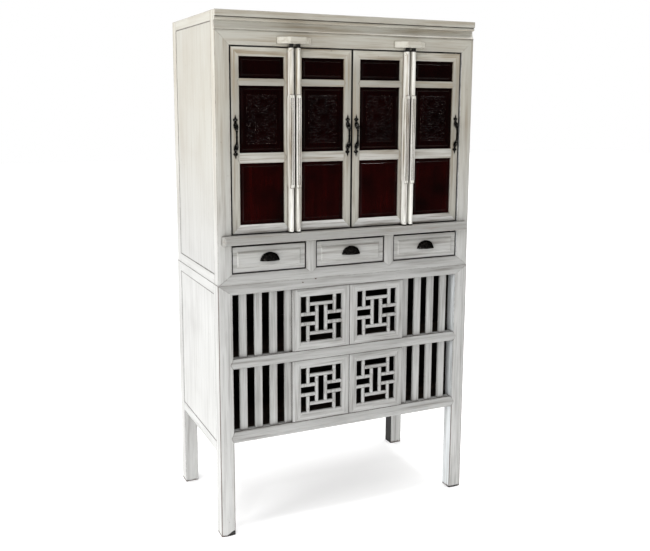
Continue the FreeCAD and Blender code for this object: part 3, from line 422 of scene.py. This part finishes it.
def darkLacquer(name, carved=False):
    recipe = Recipe(bpy.data.materials.new(name))
    streak = recipe.noise(recipe.stretched(recipe.place, lacquer["streak"]), detail=4.0)
    cloud = recipe.noise(recipe.place, scale=9.0, detail=2.0)
    edge = recipe.edge(lacquer["edgeReach"])
    low = (lacquer["redTop"] - recipe.z).past(lacquer["redFade"])
    red = (0.4 + streak.between(0.30, 0.75) * 0.5) * (0.22 + low * 0.78) * cloud.between(0.15, 0.75)
    colour = recipe.mixColour(red, lacquer["deep"], lacquer["red"])
    colour = recipe.mixColour(edge * cloud.between(0.35, 0.65) * 0.5, colour, lacquer["rubbed"])
    rough = (0.045 if carved else 0.10) + streak * 0.05 + cloud * 0.05
    relief = streak * 0.5 + cloud * 0.3
    if carved:                             # painted glints: bright specks on the carving's crests
        speck = recipe.noise(recipe.stretched(recipe.place, lacquer["specks"]), detail=1.0)
        paintedGlint = speck.between(0.54, 0.61) * recipe.noise(recipe.place, scale=60.0).between(0.42, 0.58)
        paintedGlint = paintedGlint * edge.between(0.05, 0.4)
        colour = recipe.mixColour(paintedGlint, colour, lacquer["speck"])
        relief = relief + recipe.noise(recipe.place, scale=420.0, detail=2.0) * 3.0
    normal = recipe.bump(relief, lacquer["relief"], 0.9 if carved else 0.4, lacquer["rounding"])
    fixed = {"Specular IOR Level": 0.08 if carved else 0.2}
    return recipe.finish(colour, rough, normal, **fixed)


metal = {
    "dark": (0.007, 0.0065, 0.006, 1),
    "light": (0.02, 0.018, 0.016, 1),
    "rubbed": (0.55, 0.53, 0.50, 1),       # bright at some of the edges
    "tint": (0.12, 0.12, 0.12, 1),         # of what it mirrors at a low angle
    "edgeReach": 0.0012, "rounding": 0.0004, "relief": 0.0003,
}


def blackenedMetal(name):
    recipe = Recipe(bpy.data.materials.new(name))
    grain = recipe.noise(recipe.place, scale=900.0, detail=3.0)
    cloud = recipe.noise(recipe.place, scale=160.0, detail=3.0)
    edge = recipe.edge(metal["edgeReach"])
    colour = recipe.mixColour(cloud.between(0.4, 0.7), metal["dark"], metal["light"])
    colour = recipe.mixColour(edge * cloud.between(0.50, 0.60) * 0.85, colour, metal["rubbed"])
    rough = 0.16 + cloud * 0.18 + grain * 0.08
    normal = recipe.bump(grain * 0.5 + cloud * 0.5, metal["relief"], 0.5, metal["rounding"])
    fixed = {"Metallic": 1.0, "Specular Tint": metal["tint"]}
    return recipe.finish(colour, rough, normal, **fixed)


paints = {kind: whitePaint(kind) for kind in paintKinds}
woods = {"z": bareWood("bare_wood_z", "z", "x"), "x": bareWood("bare_wood_x", "x", "z"),
         "y": bareWood("bare_wood_y", "y"), "shelf": bareWood("bare_wood_shelf", "x", "y")}
lacquerMaterial = darkLacquer("dark_lacquer")
carvedMaterial = darkLacquer("dark_lacquer_carved", carved=True)
metalMaterial = blackenedMetal("blackened_metal")

finishes = {
    "lower_side_rails": paints["sideRail"], "lower_side_panels": paints["panel"],
    "lower_back_rails": woods["x"], "lower_back_panels": woods["z"], "lower_top_board": woods["shelf"],
    "lower_shelf": woods["shelf"], "lower_floor": woods["shelf"],
    "upper_row_slats": paints["slat"], "lower_row_slats": paints["slat"],
    "upper_front_posts": paints["post"], "upper_back_posts": paints["post"],
    "upper_top_rail": paints["cornice"], "sill_bar": paints["sill"], "drawer_rail": paints["rail"],
    "drawer_dividers": paints["slat"], "drawer_guides": woods["y"], "drawer_floor": woods["shelf"],
    "upper_side_rails": paints["sideRail"], "upper_side_panels": paints["highPanel"],
    "upper_back_rails": woods["x"], "upper_back_panels": woods["z"], "cornice": paints["cornice"],
    "top_board": paints["rail"], "left_pivot_bracket": paints["bracket"],
    "right_pivot_bracket": paints["bracket"], "cupboard_floor": woods["shelf"],
    "cupboard_shelf": woods["shelf"], "shelf_battens": woods["y"],
}
for leg in ("front_left", "front_right", "back_left", "back_right"):
    finishes[leg + "_leg"] = paints["post"]
for rail in ("top", "middle", "bottom"):
    finishes["lower_%s_rail" % rail] = paints["rail"]
for door in range(1, 5):
    finishes["door_%d_frame" % door] = paints["door"]
    finishes["door_%d_panels" % door] = lacquerMaterial
    finishes["door_%d_pull" % door] = metalMaterial
for place in ("left", "middle", "right"):
    finishes[place + "_drawer_front"] = paints["drawer"]
    finishes[place + "_drawer_box"] = woods["y"]
    finishes[place + "_drawer_pull"] = metalMaterial
for row in ("lower", "upper"):
    for side in ("left", "right"):
        finishes[row + "_" + side + "_lattice_door"] = paints["lattice"]
for name, node in nodes.items():
    node.data.materials.clear()
    node.data.materials.append(finishes[name])
print("materials on", len(nodes), "nodes")


def meshPiece(name, points, faces, body, material):
    mesh = bpy.data.meshes.new(name)
    mesh.from_pydata(points, [], faces)
    shape = bmesh.new()
    shape.from_mesh(mesh)
    bmesh.ops.remove_doubles(shape, verts=shape.verts, dist=0.000002)
    shape.to_mesh(mesh)
    shape.free()
    mesh.materials.append(material)
    for polygon in mesh.polygons:
        polygon.use_smooth = True
    piece = bpy.data.objects.new(name, mesh)
    bpy.context.scene.collection.objects.link(piece)
    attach(piece, body)
    return piece


# Carved panels: flowers, leaves and scrolling stems in low relief on the middle field of each door
carving = {
    "width": 0.114, "height": 0.174,       # of the carved ground
    "unitsWide": 122.0, "unitsHigh": 186.0,  # the pattern's own grid
    "columns": 104, "rows": 158,
    "relief": 0.0027, "bead": 0.0008,
    "border": 5.0, "beadInset": 2.2, "beadHalf": 1.9,   # the bead line round it, in the pattern's units
    "inlay": 0.0006,                       # how far its flat back lies inside the field
    "seed": 11, "leafStep": 9.5,           # of the leaves strewn between the flowers
    "middlePanel": (1.455, 1.693),
    "panelSpan": (0.0345, 0.20575),        # from the middle line of the pair of doors
    "fieldDepth": 0.009,                   # behind the case's front
    # flowers: place across and up from the middle, radius, petals
    "blooms": ((4, -60, 19, 7), (-9, 3, 21, 8), (8, 62, 18, 7), (38, -22, 12, 6), (-38, -34, 12, 6),
               (34, 32, 13, 6), (-36, 44, 12, 6), (-34, -76, 10, 6), (40, -74, 9, 5), (-42, 80, 9, 5),
               (42, 76, 10, 5), (-46, 6, 9, 5)),
    # stems: points from root to tip, and half thickness at both ends
    "stems": (
        ([(-30, -90), (-14, -74), (22, -44), (26, -20), (-8, -4), (-26, 20), (-10, 40), (22, 52), (16, 88)],
         2.6, 1.8),
        ([(24, 12), (30, 22), (37, 40), (44, 60)], 2.4, 1.4),
    ),
}
# Each door's half of the cabinet and the way it runs from its pole, -1 for left and 1 for right
doorSides = {1: (-1, -1), 2: (-1, 1), 3: (1, -1), 4: (1, 1)}


# A curve that runs smoothly through all the points
def smoothPath(points):
    path = []
    count = len(points) - 1
    for index in range(count):
        before, start = points[max(index - 1, 0)], points[index]
        end, after = points[index + 1], points[min(index + 2, count)]
        for step in range(8):
            t = step / 8
            weights = (-t + 2 * t * t - t ** 3, 2 - 5 * t * t + 3 * t ** 3, t + 4 * t * t - 3 * t ** 3,
                       t ** 3 - t * t)
            path.append(tuple(sum(weight * point[axis] for weight, point in
                                  zip(weights, (before, start, end, after))) / 2 for axis in (0, 1)))
    return path + [points[-1]]


# The carving's heights over its ground, as shares of the full relief
def carvedHeights():
    width, height = carving["unitsWide"], carving["unitsHigh"]
    u, v = np.meshgrid(np.linspace(-width / 2, width / 2, carving["columns"]),
                       np.linspace(-height / 2, height / 2, carving["rows"]))
    relief = np.zeros_like(u)

    def raiseTo(shape):
        nonlocal relief
        relief = np.maximum(relief, shape)

    def stem(points, thick, thin):
        samples = smoothPath(points)
        for index in range(len(samples) - 1):
            (ax, ay), (bx, by) = samples[index], samples[index + 1]
            share = index / (len(samples) - 2)
            radius = thick + (thin - thick) * share
            along = np.clip(((u - ax) * (bx - ax) + (v - ay) * (by - ay))
                            / ((bx - ax) ** 2 + (by - ay) ** 2 + 1e-9), 0, 1)
            gap = np.hypot(u - ax - along * (bx - ax), v - ay - along * (by - ay))
            raiseTo(0.6 * np.sqrt(np.clip(1 - (gap / radius) ** 2, 0, 1)) * min(1.0, radius / 2))

    def leaf(x, y, length, breadth, angle):
        along = (u - x) * math.cos(angle) + (v - y) * math.sin(angle)
        across = (v - y) * math.cos(angle) - (u - x) * math.sin(angle)
        share = np.clip(along / length, 0, 1)
        across = across - 0.14 * length * np.sin(share * math.pi)
        reach = breadth / 2 * np.sin(share * math.pi) ** 0.8 * (1 - 0.16 * np.cos(share * 9 * math.pi))
        body = np.sqrt(np.clip(1 - (across / np.maximum(reach, 0.01)) ** 2, 0, 1))
        vein = np.exp(-(across / 0.7) ** 2) + 0.5 * np.exp(-((np.abs(across) - share * 3) / 0.5) ** 2)
        raiseTo(body * (0.72 - 0.34 * vein) * (along > 0) * (along < length))

    def flower(x, y, radius, petals, turn):
        gap = np.hypot(u - x, v - y)
        angle = np.arctan2(v - y, u - x) + turn
        layers = ((1.0, 0.72, petals, 0.0), (0.66, 0.88, petals, 0.5), (0.38, 1.0, 5, 0.2))
        for size, tall, count, twist in layers:
            lobe = np.abs(np.cos((angle + twist * math.pi / count * 2) * count / 2))
            rim = radius * size * (0.74 + 0.26 * lobe ** 0.7)
            share = gap / rim
            bowl = np.clip(1 - share ** 6, 0, 1) ** 0.5 * (0.7 + 0.3 * share)
            raiseTo(bowl * tall * (0.78 + 0.22 * lobe))
        raiseTo(np.sqrt(np.clip(1 - (gap / (radius * 0.17)) ** 2, 0, 1)))

    blooms = carving["blooms"]
    spread = np.random.default_rng(carving["seed"])
    for y in np.arange(-height / 2 + 6, height / 2 - 2, carving["leafStep"]):
        for x in np.arange(-width / 2 + 6, width / 2 - 2, carving["leafStep"]):
            x0, y0 = x + spread.uniform(-3, 3), y + spread.uniform(-3, 3)
            near = min(blooms, key=lambda bloom: math.hypot(x0 - bloom[0], y0 - bloom[1]) - bloom[2])
            angle = math.atan2(y0 - near[1], x0 - near[0]) + spread.uniform(-1.1, 1.1)
            length, breadth = spread.uniform(11, 17), spread.uniform(5, 8)
            leaf(x0 - length / 2 * math.cos(angle), y0 - length / 2 * math.sin(angle), length, breadth, angle)
    for points, thick, thin in carving["stems"]:
        stem(points, thick, thin)
    for x, y, radius, petals in blooms:
        flower(x, y, radius, petals, 0.1 * radius)
    rim = np.minimum(width / 2 - np.abs(u), height / 2 - np.abs(v))
    relief = np.where(rim < carving["border"], 0, relief)
    ground = 0.06 * np.sin(u * 2.1) * np.sin(v * 1.9)
    bead = np.sqrt(np.clip(1 - ((rim - carving["beadInset"]) / carving["beadHalf"]) ** 2, 0, 1))
    return np.maximum(relief + ground, bead * carving["bead"] / carving["relief"])


# A sheet of heights made into a closed slab whose back lies a little inside the field
def carvedPanel(door, heights):
    half, turn = doorSides[door]
    near, far = carving["panelSpan"]
    centreX = half * doorGrain["centre"] + turn * (near + far) / 2
    centreZ = sum(carving["middlePanel"]) / 2
    fieldY = frontY + carving["fieldDepth"]
    rows, columns = heights.shape
    points = []
    for layer in (0, 1):                   # the carved face, then the flat back
        for row in range(rows):
            for column in range(columns):
                x = centreX - turn * carving["width"] * (column / (columns - 1) - 0.5)
                z = centreZ + carving["height"] * (row / (rows - 1) - 0.5)
                y = fieldY + carving["inlay"] if layer else fieldY - heights[row, column] * carving["relief"]
                points.append((x, y, z))
    faces = []
    size = rows * columns
    for row in range(rows - 1):
        for column in range(columns - 1):
            corner = row * columns + column
            front = (corner, corner + 1, corner + columns + 1, corner + columns)
            faces += [front, tuple(size + index for index in (front[0], front[3], front[2], front[1]))]
    rim = (list(range(columns))
           + [row * columns + columns - 1 for row in range(1, rows)]
           + [(rows - 1) * columns + column for column in range(columns - 2, -1, -1)]
           + [row * columns for row in range(rows - 2, 0, -1)])
    for index, corner in enumerate(rim):
        following = rim[(index + 1) % len(rim)]
        faces.append((following, corner, size + corner, size + following))
    if turn > 0:
        faces = [face[::-1] for face in faces]
    meshPiece("door_%d_carving" % door, points, faces, "door_%d" % door, carvedMaterial)


carvedSurface = carvedHeights()
for door in range(1, 5):
    carvedPanel(door, carvedSurface)
print("carved panels")


# Points and faces of one casting, gathered before they become a mesh
class Casting:
    def __init__(self):
        self.points, self.faces = [], []

    def grid(self, rows):
        first, wide = len(self.points), len(rows[0])
        self.points += [tuple(point) for row in rows for point in row]
        for row in range(len(rows) - 1):
            for column in range(wide - 1):
                corner = first + row * wide + column
                self.faces.append((corner, corner + 1, corner + wide + 1, corner + wide))

    # A lobed dome facing the front, of the half width and half height given, with its back at the place
    def leaf(self, place, wide, tall, rise, lobes=2, notch=0.0, squareness=2.0):
        around = max(12, lobes * 6)
        rows = [[place] * (around + 1)]
        for ring in range(9):
            lift = math.pi / 2 * max(0, ring - 1) / 7
            row = []
            for step in range(around + 1):
                angle = 2 * math.pi * step / around
                lobe = math.cos(lobes * angle)
                across, upward = abs(math.cos(angle)), abs(math.sin(angle))
                reach = (across ** squareness + upward ** squareness) ** (-1 / squareness)
                reach *= (1 - notch * (0.5 - 0.5 * lobe)) * math.cos(lift)
                out = rise * (0.35 + 0.65 * math.sin(lift)) if ring else 0.0
                out *= 1 + notch * lobe * math.sin(2 * lift)
                row.append((place[0] + wide * reach * math.cos(angle), place[1] - out,
                            place[2] + tall * reach * math.sin(angle)))
            rows.append(row)
        self.grid(rows)

    # A rod along the path, with its half thickness along the reference and across it at each point
    def rod(self, path, reference, halves, sides=14):
        path = [Vector(point) for point in path]
        rows = []
        for index, point in enumerate(path):
            ahead = (path[min(index + 1, len(path) - 1)] - path[max(index - 1, 0)]).normalized()
            other = ahead.cross(reference).normalized()
            thick, deep = halves[index]
            turns = [2 * math.pi * side / sides for side in range(sides + 1)]
            rows.append([point + reference * thick * math.cos(turn) + other * deep * math.sin(turn)
                         for turn in turns])
        self.grid([[path[0]] * (sides + 1)] + rows + [[path[-1]] * (sides + 1)])


# Door pulls: pointed tips, lobed rosettes and leaves at both ends of a thin bowed grip
pull = {
    "half": 0.0795,                        # from the middle to a tip
    "faceDepth": 0.004,                    # the stile's face behind the case's front
    "base": 0.0022,                        # how far off the face the rod's middle line is at the tips
    "bow": 0.0132,                         # how much farther out the grip runs
    "bowStart": 0.054, "bowEnd": 0.022,    # from the middle, where it leaves the face and where it is full
    # height from the middle and half thickness of the rod
    "rod": ((0.0, 0.0044), (0.004, 0.0034), (0.016, 0.0036), (0.0205, 0.0046), (0.024, 0.0034),
            (0.040, 0.0028), (0.050, 0.0028), (0.058, 0.0026), (0.0665, 0.0018), (0.0695, 0.0028),
            (0.0725, 0.0015), (0.0795, 0.0003)),
    # height from the middle, half width, half height, rise, lobes, notch, squareness
    "leaves": ((0.0605, 0.0100, 0.0070, 0.0052, 8, 0.14, 1.5), (0.0605, 0.0052, 0.0044, 0.0074, 6, 0.2, 2.0),
               (0.0515, 0.0052, 0.0018, 0.0058, 2, 0.0, 2.0), (0.0460, 0.0068, 0.0052, 0.0066, 7, 0.22, 2.0),
               (0.0385, 0.0088, 0.0068, 0.0074, 9, 0.22, 1.8), (0.0310, 0.0074, 0.0058, 0.0068, 7, 0.22, 2.0),
               (0.0250, 0.0052, 0.0050, 0.0060, 6, 0.2, 2.0)),
    "leafSink": 0.0026, "leafInset": 0.0006,   # behind the rod's middle line, and in the face
    # curled leaves at the sides: height, lean from the middle, half width, half height
    "curls": ((0.0345, 0.0062, 0.0030, 0.0044), (0.0425, 0.0060, 0.0030, 0.0042),
              (0.0275, 0.0042, 0.0026, 0.0038)),
    "curlSink": 0.0022, "curlShape": (0.0042, 5, 0.2),   # rise, lobes and notch
}


def eased(share):
    return share * share * (3 - 2 * share)


def readTable(table, place):
    for (start, low), (end, high) in zip(table, table[1:]):
        if place <= end:
            return low + (high - low) * eased((place - start) / (end - start))
    return table[-1][1]


def doorPull(door):
    low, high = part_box("door_%d_pull" % door)
    centreX, centreZ = (low.x + high.x) / 2, (low.z + high.z) / 2
    faceY = frontY + pull["faceDepth"]
    casting = Casting()

    def outAt(height):
        share = (pull["bowStart"] - abs(height)) / (pull["bowStart"] - pull["bowEnd"])
        return pull["base"] + pull["bow"] * eased(max(0.0, min(1.0, share)))

    heights = [pull["half"] * (step / 80 - 1) for step in range(161)]
    path = [(centreX, faceY - outAt(height), centreZ + height) for height in heights]
    halves = [readTable(pull["rod"], abs(height)) for height in heights]
    casting.rod(path, Vector((1, 0, 0)), [(half, half) for half in halves])
    for side in (-1, 1):
        for height, *shape in pull["leaves"]:
            y = faceY - max(0.0, outAt(height) - pull["leafSink"]) + pull["leafInset"]
            casting.leaf((centreX, y, centreZ + side * height), *shape)
        for height, lean, wide, tall in pull["curls"]:
            y = faceY - max(0.0, outAt(height) - pull["curlSink"])
            for hand in (-1, 1):
                spot = (centreX + hand * lean, y, centreZ + side * height)
                casting.leaf(spot, wide, tall, *pull["curlShape"])
    piece = meshPiece("door_%d_cast_pull" % door, casting.points, casting.faces, "door_%d" % door,
                      metalMaterial)
    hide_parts("door_%d_pull" % door)


# Drawer pulls: an embossed half-moon shell, open below, on a scalloped plate
cup = {
    "width": 0.0372, "height": 0.0310, "depth": 0.0200,   # the width is half of the whole
    "wall": 0.0016, "plate": 0.0014,
    "margin": 0.0012,                      # of the plate round the shell
    "around": 120, "out": 40,              # steps of the shell's surface
    "scallop": 0.028,                      # depth of the outline's waves
    "lip": 0.0017,                         # half thickness of the rod along the open edge
    "beads": 24, "beadRing": 0.985, "bead": (0.0014, 0.0014, 0.0026),   # half width, half height, rise
    "emboss": 0.0018,
    # scrolls on the shell: place across and up as shares of its size, radius, and turning hand
    "scrolls": ((-0.62, 0.30, 0.26, 1), (0.62, 0.30, 0.26, -1), (-0.36, 0.66, 0.23, -1),
                (0.36, 0.66, 0.23, 1), (-0.25, 0.24, 0.19, -1), (0.25, 0.24, 0.19, 1),
                (0.0, 0.50, 0.20, 1), (0.0, 0.84, 0.14, 1)),
}


def cupPull(place):
    low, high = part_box(place + "_drawer_pull")
    centreX = (low.x + high.x) / 2
    openZ = low.z                          # the open lower edge
    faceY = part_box(place + "_drawer_front")[0].y
    plateY = faceY - cup["plate"]
    casting = Casting()

    def rimReach(angle):
        return 1 - cup["scallop"] * (0.5 - 0.5 * math.cos(8 * angle))

    # A place on the scalloped outline, moved out by the margin and drawn in to the share
    def outline(angle, y, margin=0.0, share=1.0):
        reach = rimReach(angle) * share
        return (centreX + (cup["width"] + margin) * reach * math.cos(angle), y,
                openZ + (cup["height"] + margin) * reach * math.sin(angle))

    def embossed(across, upward):
        height = 0.0
        for scrollX, scrollZ, radius, hand in cup["scrolls"]:
            gap = math.hypot(across - scrollX, upward - scrollZ) / radius
            if gap < 1:
                turn = math.atan2(upward - scrollZ, across - scrollX) * hand
                height = max(height, (0.5 + 0.5 * math.cos(9 * gap + turn)) * (1 - gap ** 3))
        return height * cup["emboss"]

    def shellPoint(angle, share, inset, raised):
        across = rimReach(angle) * share * math.cos(angle)
        upward = rimReach(angle) * share * math.sin(angle)
        rounded = math.sqrt(max(0.0, 1 - share ** 2.2))
        depth = (cup["depth"] - inset) * rounded
        if raised:
            depth += embossed(across, upward) * min(1.0, rounded * 2.5)
        return outline(angle, faceY - depth - cup["plate"] / 2, -inset, share)

    angles = [math.pi * index / cup["around"] for index in range(cup["around"] + 1)]
    shares = [math.sin(math.pi / 2 * index / cup["out"]) for index in range(cup["out"], -1, -1)]
    outer = [[shellPoint(angle, share, 0.0, True) for angle in angles] for share in shares]
    inner = [[shellPoint(angle, share, cup["wall"], False) for angle in angles] for share in shares]
    casting.grid(outer)
    casting.grid(inner[::-1])
    casting.grid([inner[0], outer[0]])
    for edge in (0, -1):                   # the open lower edge, right and left of the middle
        strip = [[row[edge] for row in outer], [row[edge] for row in inner]]
        casting.grid(strip[::-1] if edge else strip)

    back = [outline(angle, faceY, cup["margin"]) for angle in angles]   # the plate behind the shell
    front = [outline(angle, plateY, cup["margin"]) for angle in angles]
    middleBack, middleFront = (centreX, faceY, openZ), (centreX, plateY, openZ)
    casting.grid([[middleBack] * len(back), back, front, [middleFront] * len(front)])
    casting.grid([[front[0], middleFront, front[-1]], [back[0], middleBack, back[-1]]])

    lipAngles = [math.pi * (0.03 + 0.94 * index / 60) for index in range(61)]
    path = [(centreX + cup["width"] * math.cos(angle), plateY - (cup["depth"] - 0.001) * math.sin(angle),
             openZ + cup["lip"]) for angle in lipAngles]
    casting.rod(path, Vector((0, 0, 1)), [(cup["lip"], cup["lip"] * 0.8)] * len(path), 10)
    for index in range(1, cup["beads"]):   # on the plate, round the shell
        spot = outline(math.pi * index / cup["beads"], faceY - cup["plate"] / 2, share=cup["beadRing"])
        casting.leaf(spot, *cup["bead"])
    piece = meshPiece(place + "_cast_cup", casting.points, casting.faces, place + "_drawer",
                      metalMaterial)
    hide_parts(place + "_drawer_pull")


for door in range(1, 5):
    doorPull(door)
for place in ("left", "middle", "right"):
    cupPull(place)
print("cast pulls")


# Camera where the photograph was taken from
camera = {
    "place": (-1.3971, -3.0710, 1.6340),
    "azimuth": 24.598, "elevation": 9.335, "roll": 0.252,   # degrees to the right, down and round
    "lens": 45.72, "sensor": 36.0, "shiftY": -0.0570,
    "reach": 60.0,
}


def makeCamera():
    azimuth, elevation, roll = [math.radians(camera[key]) for key in ("azimuth", "elevation", "roll")]
    forward = Vector((math.sin(azimuth) * math.cos(elevation), math.cos(azimuth) * math.cos(elevation),
                      -math.sin(elevation)))
    level = Vector((math.cos(azimuth), -math.sin(azimuth), 0))
    upward = level.cross(forward)
    right = level * math.cos(roll) + upward * math.sin(roll)
    up = upward * math.cos(roll) - level * math.sin(roll)
    lens = bpy.data.cameras.new("camera")
    lens.lens = camera["lens"]
    lens.sensor_width = camera["sensor"]
    lens.shift_y = camera["shiftY"]
    lens.clip_end = camera["reach"]
    holder = bpy.data.objects.new("camera", lens)
    turned = Matrix((right, up, -forward)).transposed().to_4x4()
    holder.matrix_world = Matrix.Translation(camera["place"]) @ turned
    bpy.context.scene.collection.objects.link(holder)
    bpy.context.scene.camera = holder


makeCamera()

studio = {
    "floorSize": 40.0, "floorColour": (0.9, 0.9, 0.9, 1), "floorCloud": (0.8, 0.8, 0.8, 1),
    "floorFront": -4.2,                    # where it ends, so that the doors mirror a dim room
    "glow": 0.34,                          # keeps the shadow on the floor light
    "right": 0.06, "left": 0.26, "back": 1.0, "above": 0.9,   # brightness of the surroundings
}
lamps = {
    "key": {"place": (-3.9, -1.3, 2.2), "aim": (0, 0, 1.0), "size": (1.0, 2.0), "power": 58.0,
            "mirrored": False},
    "glint": {"place": (-2.3, -2.5, 0.5), "aim": (0, 0, 1.0), "size": (0.06, 0.06), "power": 6.0,
              "mirrored": True},
    "ceiling": {"place": (1.40, -0.78, 3.92), "aim": (0.05, -0.25, 1.5), "size": (0.36, 0.6), "power": 32.0,
                "mirrored": True},
    "spark": {"place": (-2.2, -2.6, 3.0), "aim": (0, 0, 1.4), "size": (0.05, 0.05), "power": 16.0,
              "mirrored": True},
}


def makeLamp(name, facts):
    light = bpy.data.lights.new(name, "AREA")
    light.shape = "RECTANGLE"
    light.size, light.size_y = facts["size"]
    light.energy = facts["power"]
    holder = bpy.data.objects.new(name, light)
    aim = Vector(facts["aim"]) - Vector(facts["place"])
    holder.rotation_euler = aim.to_track_quat("-Z", "Y").to_euler()
    holder.location = facts["place"]
    holder.visible_glossy = facts["mirrored"]
    bpy.context.scene.collection.objects.link(holder)


def makeStage():
    half, near = studio["floorSize"] / 2, studio["floorFront"]
    mesh = bpy.data.meshes.new("floor")
    corners = [(-half, near, 0), (half, near, 0), (half, half, 0), (-half, half, 0)]
    mesh.from_pydata(corners, [], [(0, 1, 2, 3)])
    floor = bpy.data.objects.new("floor", mesh)
    bpy.context.scene.collection.objects.link(floor)
    recipe = Recipe(bpy.data.materials.new("floor"))
    cloud = recipe.noise(recipe.place, scale=1.5)
    colour = recipe.mixColour(cloud * 0.03, studio["floorColour"], studio["floorCloud"])
    glow = {"Emission Color": (1, 1, 1, 1), "Emission Strength": studio["glow"]}
    mesh.materials.append(recipe.finish(colour, 0.9, recipe.bump(cloud, 0.0005), **glow))


# Bright behind and above, dimmer in front and dimmest at the right
def makeWorld():
    world = bpy.data.worlds.new("studio")
    bpy.context.scene.world = world
    recipe = Recipe(world, "Generated")
    strength = studio["right"] + recipe.x.between(0.3, -0.5) * (studio["left"] - studio["right"])
    strength = strength + recipe.y.between(-0.1, 0.5) * studio["back"]
    strength = strength + recipe.z.between(0.35, 0.9) * studio["above"]
    seen = recipe.add("ShaderNodeLightPath", output="Is Camera Ray")
    strength = strength * (1.0 - seen) + seen  # the backdrop itself is white from every side
    background = recipe.add("ShaderNodeBackground", {}, {"Strength": strength, "Color": (1, 1, 1, 1)})
    recipe.add("ShaderNodeOutputWorld", {}, {0: background})


makeStage()
makeWorld()
for name, facts in lamps.items():
    makeLamp(name, facts)
bpy.context.scene.view_settings.view_transform = "Standard"
print("camera, floor and lights")
